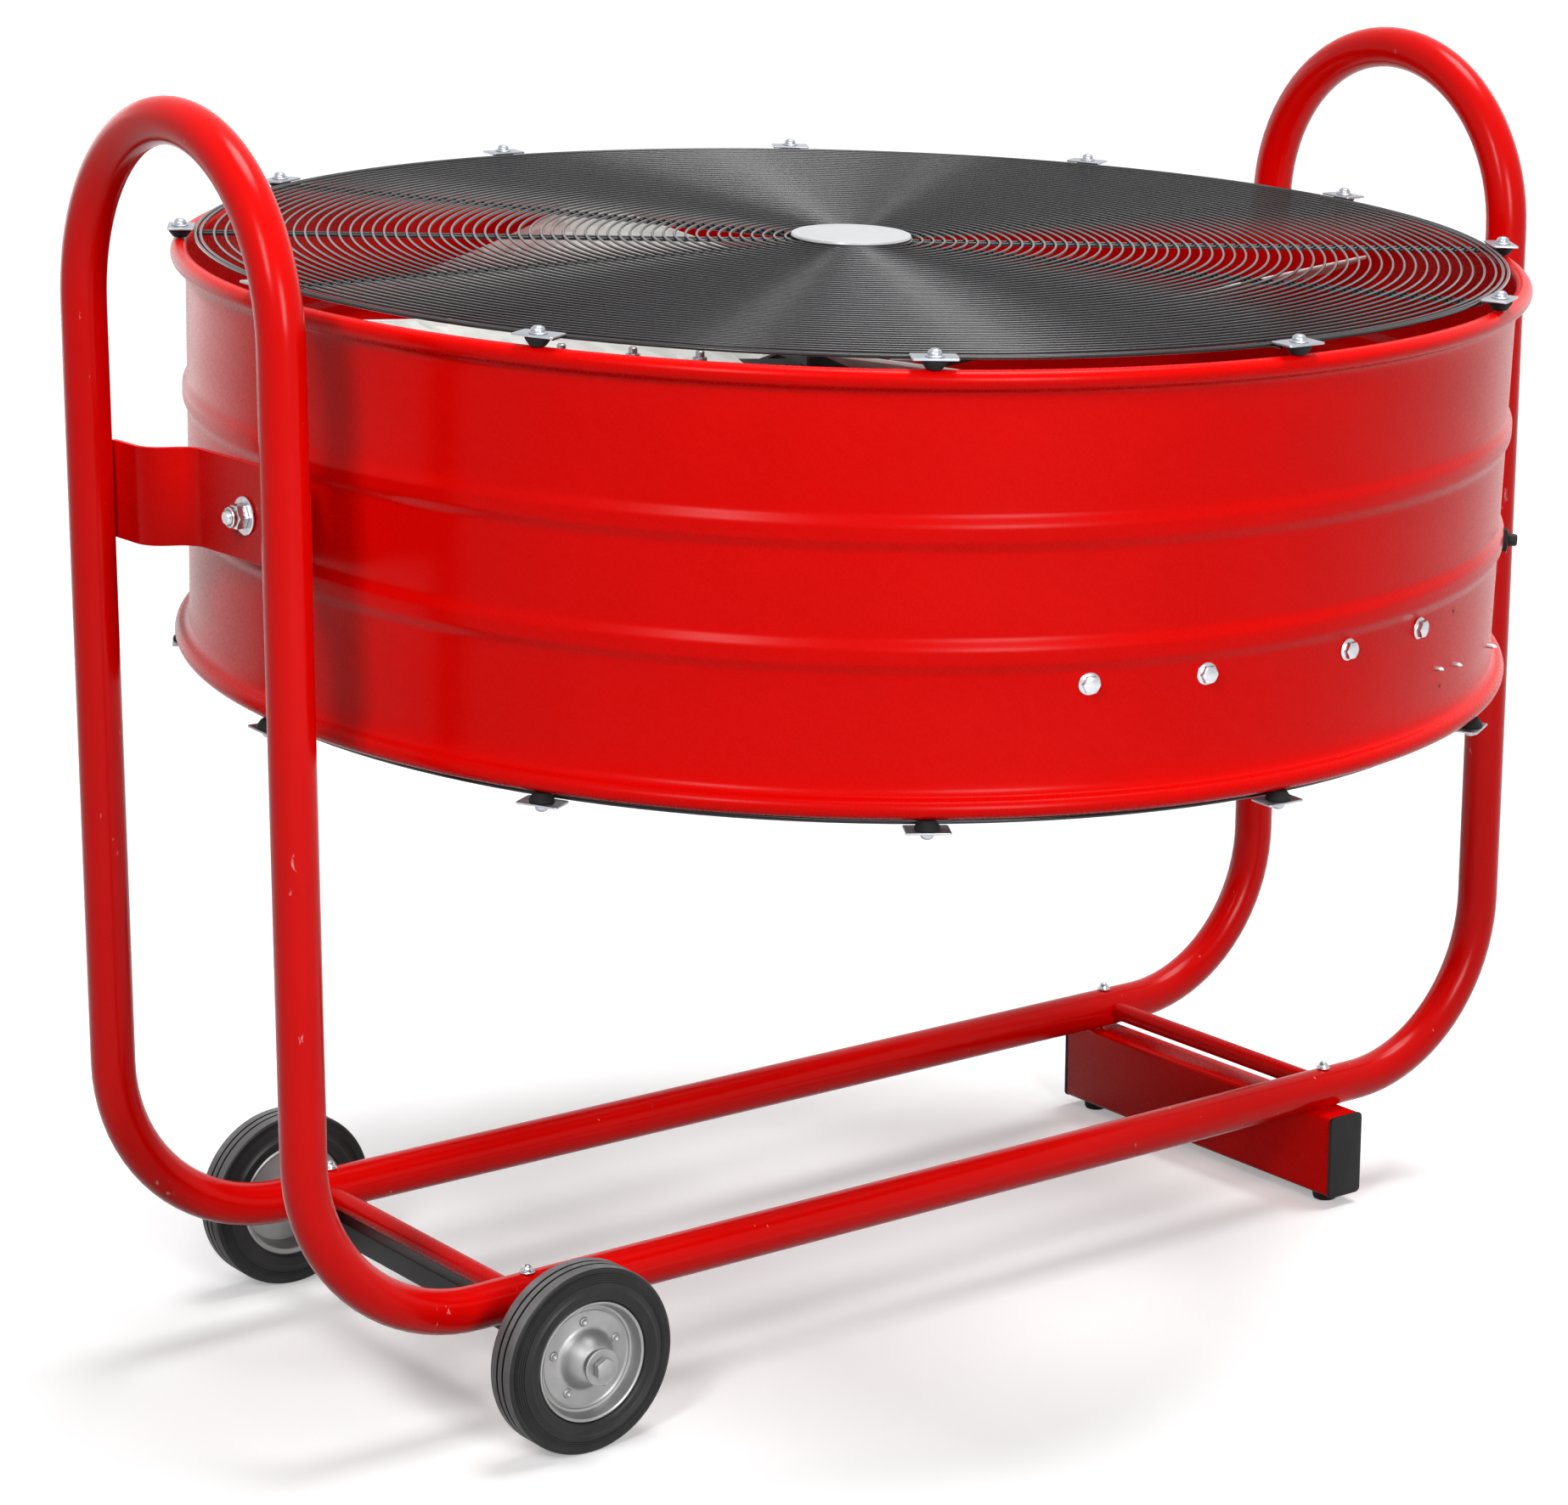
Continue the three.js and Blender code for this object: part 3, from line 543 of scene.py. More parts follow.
zinc = bright_zinc("bright_zinc_plating")
top = RAIL_Z + TUBE_R
for end, x, wall in (("left", AXLE_X, AXLE_BAR), ("right", FOOT_X, BEAM_WALL)):
    head = RAIL_Z - TUBE_R - wall - 0.6
    for name, y in (("front", -FRAME_Y), ("rear", FRAME_Y)):
        bolt = together((turned([(r, top + z) for r, z in DOME], 36), None),
                        (turned(round_bar(4, head, top + 2), 24), None),
                        (hexagon(HEX_M8, head - 5, head), None))
        bolt.transform(Matrix.Translation((x * MM, y * MM, 0)))
        fitted(f"rail_bolt_set_{end}_{name}", bolt, "frame", zinc,
               f"rail_bolt_{end}_{name}")


# ---- Wheels --------------------------------------------
# 160 mm transport wheels: a moulded rubber tyre with three tread bands and fine shoulder ribs, on
# a pressed, riveted and zinc plated rim with a raised hub, held by a washer and an M10 bolt. The
# tread is painted a lighter grey, partly dust and partly painted sheen, and the sides stay black.
WHEEL_Y, RIM_R, TREAD_FROM = 240, 52, 78.8
SIDE_BLACK, SIDE_DUST, TREAD_SHEEN_GREY, TREAD_DUST_AND_SHEEN = "1E1E1F", "2D2D2E", "6C6C6D", "8A8A8B"
RIVET_AT, RIVETS = 32, [20 + 72 * i for i in range(5)]
RIVET = [(0, 4.5), (4.2, 4.9), (4.1, 5.6), (3.5, 6.4), (2.6, 6.7), (1.8, 6.2), (1, 5.6), (0, 5.4)]
RIM = [(6, -17), (13, -17), (14, -15), (14, 0), (20, 3.2), (43, 3.2), (45, -9), (47, -14),
       (50, -15.6), (RIM_R - SEAM, -15), (RIM_R - SEAM, 15.4), (51, 16.4), (50, 16.6), (48.8, 15.8),
       (47.8, 13), (46.8, 8.5), (45.4, 6.6), (43.6, 6.1), (42.2, 6.6), (40.6, 5.4), (28.5, 5.2),
       (26.4, 5.9), (24.6, 7.6), (22.6, 11.4), (20.4, 15.6), (17.8, 19), (15, 22.2), (13, 23.4),
       (11, 23.6), (6, 23.6)]
AXLE_WASHER = [(5.4, 23.9), (9, 23.9), (9, 27.6), (15.2, 27.6), (15.8, 28.1), (15.8, 30.1),
               (15.2, 30.6), (5.4, 30.6)]


def tyre_profile():
    """The right half from the bead out over the shoulder, then mirrored to the left half."""
    half = [(RIM_R, 13.5), (52.2, 15.6), (53, 17), (54.6, 18), (57, 18.5), (60.2, 18.6),
            (60.8, 19.2), (61.6, 19.2), (62.2, 18.5), (65.6, 18)]
    for i in range(5):
        r, z = 66.6 + 1.75 * i, 17.8 - 0.45 * i - 0.06 * i * i
        half += [(r, z), (r + 0.9, z - 0.1), (r + 1.1, z - 0.9), (r + 1.5, z - 1.0)]
    half += [(76.4, 14.8), (78.2, 14.4), (79.5, 13.8), (80, 12.8)]
    half += [(80, 5.2), (77.4, 4.8), (77.4, 3.2), (80, 2.8)]
    return half + [(r, -z) for r, z in reversed(half)]


def moulded_rubber(name, dark, dusty, rough):
    """Dusty tyre rubber with a fine grain."""
    material, tree = blank_material(name)
    patches = {"Scale": 28, "Detail": 5, "Roughness": 0.6}
    place, colour = dusted(tree, patches, {"From Min": 0.42, "From Max": 0.7}, dark, dusty)
    _, relief = grained(tree, place, 900, 0.5, 0.00006)
    skin = add(tree, "ShaderNodeBsdfPrincipled", {
        "Base Color": colour, "Roughness": rough, "IOR": 1.5, "Specular IOR Level": 0.3,
        "Normal": relief})
    add(tree, "ShaderNodeOutputMaterial", {"Surface": skin.outputs[0]})
    return material


side_rubber = moulded_rubber("vulcanised_black_rubber", SIDE_BLACK, SIDE_DUST, 0.42)
# The tread's lighter grey is partly dust and partly painted sheen.
tread_rubber_painted_sheen = moulded_rubber("worn_tread_rubber", TREAD_SHEEN_GREY, TREAD_DUST_AND_SHEEN, 0.6)
rim_zinc = bright_zinc("zinc_plated_pressing", 0.46, 60, "ACACAC", "929292")

# The tree sets one part on every point, with the part's X turned away from the Z axis.
tree, start = new_tree("set_round_axis", {"Part": ("Object", None), "Finish": ("Material", None)})
at = add(tree, "ShaderNodeSeparateXYZ", {0: add(tree, "GeometryNodeInputPosition").outputs[0]})
angle = add(tree, "ShaderNodeMath", {0: at.outputs["Y"], 1: at.outputs["X"]}, operation="ARCTAN2")
spin = add(tree, "ShaderNodeCombineXYZ", {"Z": angle.outputs[0]})
part = add(tree, "GeometryNodeObjectInfo", {"Object": start["Part"]})
many = add(tree, "GeometryNodeInstanceOnPoints", {
    "Points": start["Geometry"], "Instance": part.outputs["Geometry"], "Rotation": spin.outputs[0]})
set_round_axis = close_tree(tree, many.outputs[0], start["Finish"])


def round_axis(mesh, radius, angles, height, material):
    """Copies of a part, a mesh in metres, at these angles in degrees round the Z axis."""
    part = bpy.data.objects.new("part", mesh)
    scene.collection.objects.link(part)
    spots = [(radius * cos(radians(a)), radius * sin(radians(a)), height) for a in angles]
    made = grown(set_round_axis, spots, part=part, finish=material)
    bpy.data.objects.remove(part)
    return made


def joined(*meshes):
    """Several meshes in metres as one."""
    bm = bmesh.new()
    for mesh in meshes:
        bm.from_mesh(mesh)
    whole = bpy.data.meshes.new("joined")
    bm.to_mesh(whole)
    bm.free()
    return whole


def in_metres(matrix):
    """A move in millimetres as the same move of a mesh in metres."""
    return Matrix.Scale(MM, 4) @ matrix @ Matrix.Scale(1 / MM, 4)


for name, side in (("front", -1), ("rear", 1)):
    outwards = Matrix.Rotation(-side * pi / 2, 4, "X")
    on_axle = Matrix.Translation((AXLE_X, side * WHEEL_Y, WHEEL_R)) @ outwards
    tyre = turned(tyre_profile(), 96)
    # Faces out beyond TREAD_FROM take the tread rubber with its painted sheen.
    for face in tyre.faces:
        face.material_index = int(min(v.co.xy.length for v in face.verts) > TREAD_FROM)
    tyre = placed(tyre, on_axle)
    for finish in (side_rubber, tread_rubber_painted_sheen):
        tyre.materials.append(finish)
    fitted(f"ribbed_tyre_{name}", tyre, f"wheel_{name}", None,
           f"wheel_tyre_{name}", sharp=50)
    rivets = round_axis(placed(turned(RIVET, 24)), RIVET_AT, RIVETS, 0, rim_zinc)
    rivets.transform(in_metres(on_axle))
    rim = joined(placed(turned(RIM, 72), on_axle), rivets)
    fitted(f"riveted_rim_{name}", rim, f"wheel_{name}", rim_zinc, f"wheel_rim_{name}")
    fitted(f"axle_washer_{name}", placed(turned(AXLE_WASHER), on_axle), "frame", rim_zinc,
           f"wheel_washer_{name}")
    bolt = together((turned(round_bar(5, -21, 32), 24), on_axle),
                    (hexagon(HEX_M10, 31, 37.6), on_axle))
    fitted(f"axle_bolt_{name}", bolt, "frame", rim_zinc, f"wheel_bolt_{name}")


# ---- Drum shell ----------------------------------------
# 2 mm sheet rolled to a hoop and butt welded, with two swaged ribs that stiffen it, and its edges
# rolled round a wire. Powder coated red inside and out. It leans 2.5 degrees to the front.
TILT = radians(2.5)
DRUM = Matrix.Translation((0, 0, PIVOT_Z)) @ Matrix.Rotation(TILT, 4, "X")
SHELL_R, SHELL_T, RIB_Z, RIB_HALF, RIB_FLAT, RIB_H = 578, 2, 48, 16, 4, 4.2
BEAD_AT, BEAD_Z, BEAD_R = 583, 166.5, 8
WALL_STEPS = [0, 10, 20, 30, *range(32, 66, 2), 90, 120, 138]


def swage(z):
    """How far the sheet stands out at this height: two flat-topped ribs with soft feet."""
    near = abs(abs(z) - RIB_Z)
    rise = min(max((RIB_HALF - near) / (RIB_HALF - RIB_FLAT), 0), 1)
    return RIB_H * rise * rise * (3 - 2 * rise)


def shell_profile():
    """The sheet's outline from the middle up, and the same mirrored below."""
    outside = [(SHELL_R + swage(z), z) for z in WALL_STEPS]
    outside += [(SHELL_R + 0.3, 146), (SHELL_R + 1, 152), (SHELL_R + 2.2, 156.5)]
    outside += [(BEAD_AT + BEAD_R * cos(radians(a)), BEAD_Z + BEAD_R * sin(radians(a)))
                for a in range(-85, 151, 15)]
    inside = [(SHELL_R - SHELL_T, BEAD_Z - 2)]
    inside += [(SHELL_R - SHELL_T + swage(z), z) for z in reversed(WALL_STEPS)]
    below_inside = [(r, -z) for r, z in reversed(inside[:-1])]
    below_outside = [(r, -z) for r, z in reversed(outside[1:])]
    return outside + inside + below_inside + below_outside


shell = turned(shell_profile(), 240)
fitted("swaged_shell", placed(shell, DRUM), "drum", sheet_red, "drum_shell", sharp=50)


# ---- Butt weld, screw tips and drilled holes of the shell --
# The sheet's butt weld shows as a low flat line under the coat. Next to the lead's outlet the tips
# of three thin screws stand out of the wall, and there are two small holes without a screw.
WELD_AT, WELD_HALF, WELD_H, WELD_SUNK = -99, 0.3, 0.15, 0.2
TIPS = ((-69.5, -113), (-65.5, -118), (-52.5, -132))
HOLES = ((-66.3, -71), (-68.2, -131))
TIP = [(0, -1), (2, -1), (2, 4.5), (1.7, 6.5), (0.8, 8.2), (0, 8.6)]
HOLE_EDGE = [(0, 0.05), (1.2, 0.05), (1.7, 0.1), (1.9, -0.4), (0, -0.4)]

weld = bmesh.new()
rows = []
for z in sorted({side * z for z in WALL_STEPS for side in (-1, 1)}):
    crest = SHELL_R + swage(z) + WELD_H
    foot = crest - WELD_H - WELD_SUNK
    across = ((-1, foot), (-0.5, crest), (0.5, crest), (1, foot))
    turns = [(radians(WELD_AT + WELD_HALF * k), r) for k, r in across]
    rows.append([weld.verts.new((r * cos(a), r * sin(a), z)) for a, r in turns])
for here, there in zip(rows, rows[1:]):
    for k in range(3):
        weld.faces.new((here[k], here[k + 1], there[k + 1], there[k]))
fitted("shell_butt_weld", placed(weld, DRUM), "drum", sheet_red)


def on_wall(angle, z, out=0.0):
    """A place on the drum's wall at this angle and height, with Z pointing out of it."""
    return (DRUM @ Matrix.Rotation(radians(angle), 4, "Z")
            @ Matrix.Translation((SHELL_R + out, 0, z)) @ Matrix.Rotation(pi / 2, 4, "Y"))


tip_zinc = bright_zinc("bright_zinc_screw_tip", 0.3, 500)
tips = together(*((turned(TIP, 16), on_wall(*spot)) for spot in TIPS))
fitted("screw_tips", tips, "drum", tip_zinc)
hole_dark = dull_black("shadow_in_a_drilled_hole", 900, 0.9, 0.00002, dust=0.0)
holes = together(*((turned(HOLE_EDGE, 20), on_wall(*spot)) for spot in HOLES))
fitted("drilled_holes", holes, "drum", hole_dark)


# ---- Wire guards ---------------------------------------
# One steel wire wound in a flat spiral on twelve pairs of spoke rods, closed by a double rim wire,
# spot welded and coated satin black. One guard covers each face of the drum.
GUARD_TOP, WIRE_R, SPOKE_R, SPOKE_GAP, SPOKE_DEPTH = 182.4, 1.25, 1.5, 11, 2.7
SPIRAL_FROM, SPIRAL_TO, SPIRAL_TURNS, RIM_WIRE = 32.56, 560, 54.25, 569.5
RIM_WIRES_APART, RIM_WIRE_THICKER = 0.0045, 1.25
SPOKES, STEPS_A_TURN = 12, 168
WIRE, WIRE_GREY = "1A1A1C", "262629"

coated_wire, tree = blank_material("satin_black_coated_wire")
place, _, colour = mottled(tree, 30, 3, WIRE, WIRE_GREY)
grain = add(tree, "ShaderNodeTexNoise", {"Vector": place, "Scale": 600, "Detail": 1})
uneven = add(tree, "ShaderNodeMapRange", {
    "Value": grain.outputs["Fac"], "To Min": 0.15, "To Max": 0.28})
skin = add(tree, "ShaderNodeBsdfPrincipled", {
    "Base Color": colour, "Roughness": uneven.outputs[0], "IOR": 1.5, "Specular IOR Level": 0.4})
add(tree, "ShaderNodeOutputMaterial", {"Surface": skin.outputs[0]})

tree, start = new_tree("wire_guard", {
    "Inner Radius": ("Float", 0.05), "Outer Radius": ("Float", 0.56), "Turns": ("Float", 52.0),
    "Points per Turn": ("Int", 168), "Wire Radius": ("Float", 0.0012),
    "Rim Radius": ("Float", 0.5695), "Spokes": ("Int", 12), "Spoke Radius": ("Float", 0.0015),
    "Spoke Gap": ("Float", 0.012), "Spoke Depth": ("Float", 0.003), "Finish": ("Material", None)})
section = add(tree, "GeometryNodeCurvePrimitiveCircle", {
    "Resolution": 6, "Radius": start["Wire Radius"]})
spiral = add(tree, "GeometryNodeCurveSpiral", {
    "Resolution": start["Points per Turn"], "Rotations": start["Turns"],
    "Start Radius": start["Inner Radius"], "End Radius": start["Outer Radius"], "Height": 0.0})
wound = add(tree, "GeometryNodeCurveToMesh", {
    "Curve": spiral.outputs[0], "Profile Curve": section.outputs[0], "Fill Caps": True})
inside = add(tree, "ShaderNodeMath", {
    0: start["Rim Radius"], 1: RIM_WIRES_APART}, operation="SUBTRACT").outputs[0]
hoops = add(tree, "GeometryNodeJoinGeometry")
for radius in (start["Rim Radius"], inside):
    hoop = add(tree, "GeometryNodeCurvePrimitiveCircle", {"Resolution": 144, "Radius": radius})
    tree.links.new(hoop.outputs[0], hoops.inputs[0])
thick = add(tree, "ShaderNodeMath", {
    0: start["Wire Radius"], 1: RIM_WIRE_THICKER}, operation="MULTIPLY").outputs[0]
section = add(tree, "GeometryNodeCurvePrimitiveCircle", {"Resolution": 8, "Radius": thick})
rim = add(tree, "GeometryNodeCurveToMesh", {
    "Curve": hoops.outputs[0], "Profile Curve": section.outputs[0]})
depth = add(tree, "ShaderNodeMath", {
    0: start["Spoke Depth"], 1: -1.0}, operation="MULTIPLY").outputs[0]
rods = add(tree, "GeometryNodeJoinGeometry")
for sign in (-0.5, 0.5):
    aside = add(tree, "ShaderNodeMath", {
        0: start["Spoke Gap"], 1: sign}, operation="MULTIPLY").outputs[0]
    near, far = (add(tree, "ShaderNodeCombineXYZ", {"X": start[label], "Y": aside, "Z": depth})
                 for label in ("Inner Radius", "Rim Radius"))
    rod = add(tree, "GeometryNodeCurvePrimitiveLine", {
        "Start": near.outputs[0], "End": far.outputs[0]})
    tree.links.new(rod.outputs[0], rods.inputs[0])
section = add(tree, "GeometryNodeCurvePrimitiveCircle", {
    "Resolution": 8, "Radius": start["Spoke Radius"]})
pair = add(tree, "GeometryNodeCurveToMesh", {
    "Curve": rods.outputs[0], "Profile Curve": section.outputs[0], "Fill Caps": True})
middle = add(tree, "GeometryNodeMeshCircle", {"Vertices": start["Spokes"], "Radius": 0.0001})
step = add(tree, "ShaderNodeMath", {0: 2 * pi, 1: start["Spokes"]}, operation="DIVIDE")
angle = add(tree, "ShaderNodeMath", {
    0: add(tree, "GeometryNodeInputIndex").outputs[0], 1: step.outputs[0]}, operation="MULTIPLY")
spin = add(tree, "ShaderNodeCombineXYZ", {"Z": angle.outputs[0]})
spokes = add(tree, "GeometryNodeInstanceOnPoints", {
    "Points": middle.outputs[0], "Instance": pair.outputs[0], "Rotation": spin.outputs[0]})
everything = add(tree, "GeometryNodeJoinGeometry")
for made in (wound, rim, spokes):
    tree.links.new(made.outputs[0], everything.inputs[0])
wire_guard = close_tree(tree, everything.outputs[0], start["Finish"])

FACES = (("top", DRUM @ Matrix.Rotation(radians(-1.5), 4, "Z")),
         ("bottom", DRUM @ Matrix.Rotation(pi, 4, "X") @ Matrix.Rotation(radians(0.7), 4, "Z")))
for name, face in FACES:
    net = grown(wire_guard, inner_radius=SPIRAL_FROM * MM, outer_radius=SPIRAL_TO * MM,
                turns=SPIRAL_TURNS, points_per_turn=STEPS_A_TURN, wire_radius=WIRE_R * MM,
                rim_radius=RIM_WIRE * MM, spokes=SPOKES, spoke_radius=SPOKE_R * MM,
                spoke_gap=SPOKE_GAP * MM, spoke_depth=SPOKE_DEPTH * MM, finish=coated_wire)
    net.transform(in_metres(face @ Matrix.Translation((0, 0, GUARD_TOP - WIRE_R))))
    fitted(f"spiral_guard_{name}", net, "drum", None, f"guard_{name}", sharp=80)


# ---- Guard clips ---------------------------------------
# At each spoke a zinc plated plate holds the rim wires down on a rubber pad, with a pan-head
# screw. There are twelve on each face.
CLIP_R, SCREW_R = 582, 583
CLIP_W, CLIP_L, CLIP_FROM, CLIP_TO = 23, 36, 182.7, 184.5
SPOKE_ANGLES = [360 / SPOKES * i for i in range(SPOKES)]
CLIP_SCREW = [(0, 184.5), (7.4, 184.5), (7.7, 185.1), (6.9, 185.7), (5.6, 186), (5.5, 187.6),
              (4.7, 189.2), (2.9, 190.3), (0, 190.7)]
PAD = [(0, 174.7), (5.6, 174.7), (6.6, 175.4), (9.4, 179.2), (10.2, 180.8), (10.1, 182),
       (9.4, 182.6), (0, 182.6)]

clip_zinc = bright_zinc("bright_zinc_on_clips", 0.36, 150, "B9BDC3", "969AA1")
clip_plate = placed(prism(round_rect(CLIP_W, CLIP_L, 2), CLIP_FROM, CLIP_TO, soften=0.5))
clip_screw, pad = placed(turned(CLIP_SCREW, 28)), placed(turned(PAD, 28))
for name, face in FACES:
    metal = joined(round_axis(clip_plate, CLIP_R, SPOKE_ANGLES, 0, clip_zinc),
                   round_axis(clip_screw, SCREW_R, SPOKE_ANGLES, 0, clip_zinc))
    metal.transform(in_metres(face))
    fitted(f"guard_clips_{name}", metal, "drum", clip_zinc)
    rubber = round_axis(pad, SCREW_R, SPOKE_ANGLES, 0, foot_rubber)
    rubber.transform(in_metres(face))
    fitted(f"guard_pads_{name}", rubber, "drum", foot_rubber)


# ---- Middle disc of each guard -------------------------
# A pressed plate of 106 mm with a turned-down edge, clipped on the guard's middle. Lacquered a
# satin silver grey and left plain.
DISC = [(0, 182.9), (52.6, 182.9), (53, 183.6), (52.4, 185.2), (50.5, 186), (47, 186.1),
        (46, 185.6), (45, 186.1), (30, 186.8), (0, 187.2)]

badge_grey, tree = blank_material("satin_grey_lacquer")
place, _, colour = mottled(tree, 60, 3, "C6C7C9", "D2D3D5")
_, relief = grained(tree, place, 700, 0.4, 0.00003)
skin = add(tree, "ShaderNodeBsdfPrincipled", {
    "Base Color": colour, "Roughness": 0.35, "Metallic": 0.1, "Normal": relief})
add(tree, "ShaderNodeOutputMaterial", {"Surface": skin.outputs[0]})
for name, face in FACES:
    fitted(f"plain_disc_{name}", placed(turned(DISC, 96), face), "drum", badge_grey,
           f"guard_disc_{name}")


# ---- Pivots --------------------------------------------
# An M12 bolt from inside the drum passes a black spacer and the strap, and is closed by a plated
# washer and a nut with a milky nylon ring. It clamps the drum at any lean.
SHELL_INSIDE, STRAP_OUTSIDE = 574.4, STRAP_X + STRAP_T / 2 + SEAM
NUT_AT = STRAP_OUTSIDE + 2.8
SPACER = [(6.4, 578.3), (14, 578.3), (14, 601.7), (6.4, 601.7)]
PIVOT_WASHER = [(6.4, 0), (15.2, 0), (16, 0.6), (16, 1.9), (15.2, 2.5), (6.4, 2.5)]
NUT_COLLAR = [(7.6, 8.4), (8.6, 8.4), (8.6, 12.2), (8, 13), (7.6, 13)]
NYLON_RING = [(6.3, 9.2), (7.5, 9.2), (7.5, 12.8), (6.3, 12.8)]

nylon, tree = blank_material("white_nylon_ring")
_, _, colour = mottled(tree, 400, 2, "D8DCCB", "C4C9B6")
skin = add(tree, "ShaderNodeBsdfPrincipled", {"Base Color": colour, "Roughness": 0.45, "IOR": 1.53})
add(tree, "ShaderNodeOutputMaterial", {"Surface": skin.outputs[0]})


def thread(radius, low, high, pitch=1.75):
    """Profile of a threaded rod's end, from the axis out: rings of a sharp sawtooth."""
    points, z = [(0, low), (radius, low)], low
    while z + pitch < high - 1:
        points += [(radius, z + 0.15 * pitch), (radius - 0.9, z + 0.6 * pitch), (radius, z + pitch)]
        z += pitch
    return points + [(radius - 1.2, high), (0, high)]


def raised(profile, by):
    """A profile of (radius, height) moved up."""
    return [(r, z + by) for r, z in profile]


for name, turn in (("left", pi), ("right", 0)):
    out = DRUM @ Matrix.Rotation(turn, 4, "Z") @ Matrix.Rotation(pi / 2, 4, "Y")
    bolt = together((hexagon(HEX_M12, SHELL_INSIDE - 8, SHELL_INSIDE), out),
                    (turned(thread(6, SHELL_INSIDE - 4, STRAP_OUTSIDE + 19), 32), out))
    fitted(f"pivot_bolt_set_{name}", bolt, "drum", zinc, f"pivot_bolt_{name}", sharp=50)
    fitted(f"pivot_sleeve_{name}", placed(turned(SPACER, 40), out), "drum",
           cap_plastic, f"pivot_spacer_{name}")
    washer = turned(raised(PIVOT_WASHER, STRAP_OUTSIDE), 56)
    fitted(f"pivot_washer_plated_{name}", placed(washer, out), "drum", zinc,
           f"pivot_washer_{name}")
    nut = together((hexagon(HEX_M12, NUT_AT, NUT_AT + 9, bore=6.2), out),
                   (turned(raised(NUT_COLLAR, NUT_AT), 40), out))
    fitted(f"pivot_locknut_{name}", nut, "drum", zinc, f"pivot_nut_{name}")
    ring = turned(raised(NYLON_RING, NUT_AT), 40)
    fitted(f"nylon_ring_{name}", placed(ring, out), "drum", nylon)


# ---- Motor mount ---------------------------------------
# Two pressed channels cross the drum from wall to wall under the motor, each with a curved foot at
# either end. Zinc plated flange bolts hold the feet to the shell. Painted red like the drum.
STRUT_X, STRUT_Z, BOLT_DX, MOUNT_TURN = 125, -72, 50, -0.7
FLANGE = [(0, 0.3), (9, 0.3), (9.2, 1), (8.6, 1.7), (6.8, 2.3), (0, 2.4)]


def dress_node(name, material):
    """Gives a CAD node that stays in view its finish."""
    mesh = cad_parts[name].data
    mesh.materials.clear()
    mesh.materials.append(material)


for name in ("motor_strut_left", "motor_strut_right", "motor_plate"):
    dress_node(name, sheet_red)

flange_bolt = together((turned(FLANGE, 36), None), (hexagon(HEX_M8, 2, 6.3), None),
                       (turned(round_bar(4, -14, 1), 20), None))
flange_bolt.transform(Matrix.Rotation(pi / 2, 4, "Y"))
bolt_angles = [degrees(atan2(side * sqrt(SHELL_R ** 2 - x ** 2), x)) + MOUNT_TURN
               for side in (-1, 1) for x in (-STRUT_X - BOLT_DX, -STRUT_X + BOLT_DX,
                                             STRUT_X - BOLT_DX, STRUT_X + BOLT_DX)]
bolts = round_axis(flange_bolt, SHELL_R, bolt_angles, STRUT_Z, zinc)
bolts.transform(in_metres(DRUM))
fitted("flange_bolts", bolts, "drum", zinc, [f"mount_bolt_{i + 1}" for i in range(8)])


# ---- Motor ---------------------------------------------
# Cast housing with cooling fins, a flange below and a domed bearing shield above, painted dark
# grey, with a moulded terminal box on its side.
MOTOR_R, MOTOR_TOP, SHAFT_R, MOTOR_FOOT = 88, 44, 12, -54.4
FINS, FIN_L, FIN_T = 40, 12, 3
BOX, BOX_AT = (46, 70, 60), (118, 0, MOTOR_FOOT + 30)
HOUSING = [(SHAFT_R + SEAM, MOTOR_FOOT), (94, MOTOR_FOOT), (94, MOTOR_FOOT + 7),
           (92, MOTOR_FOOT + 9), (80, MOTOR_FOOT + 10), (80, MOTOR_TOP - 24), (86, MOTOR_TOP - 23),
           (86, MOTOR_TOP - 17), (83, MOTOR_TOP - 15), (60, MOTOR_TOP - 12), (42, MOTOR_TOP - 8),
           (30, MOTOR_TOP - 3), (26, MOTOR_TOP), (SHAFT_R + SEAM, MOTOR_TOP)]

cast_grey = dull_black("painted_casting", 260, 0.55, 0.0002, dust=0.9)
fin = placed(prism(round_rect(FIN_L, FIN_T, 1.2), MOTOR_FOOT + 9, MOTOR_TOP - 20, soften=0.6))
fin_angles = [360 / FINS * i for i in range(FINS)]
fins = round_axis(fin, MOTOR_R - FIN_L / 2, fin_angles, 0, cast_grey)
motor = joined(placed(turned(HOUSING, 72)), fins)
motor.transform(in_metres(DRUM))
fitted("finned_motor", motor, "drum", cast_grey, "motor_body")
terminal = placed(block(*BOX, 3, 3), DRUM @ Matrix.Translation(BOX_AT))
fitted("terminal_box", terminal, "drum", cap_plastic, "motor_terminal_box")


# ---- Cable gland ---------------------------------------
# Moulded gland in the drum's wall, where the motor's lead comes out: a hexagon and a domed cap,
# of the same dull black plastic as the caps of the foot beam.
GLAND_AT, GLAND_OUT, GLAND_HEX = (-46, -52), 3.5, 19
GLAND_CAP = [(0, 4.5), (5.4, 4.5), (5.6, 5.5), (5.2, 11), (4.4, 12.4), (3, 12.7), (0, 11.5)]
gland_place = on_wall(*GLAND_AT, GLAND_OUT)
gland = together((hexagon(GLAND_HEX, 0, 4.5), gland_place), (turned(GLAND_CAP, 32), gland_place))
fitted("moulded_gland", gland, "drum", cap_plastic, "cable_gland")


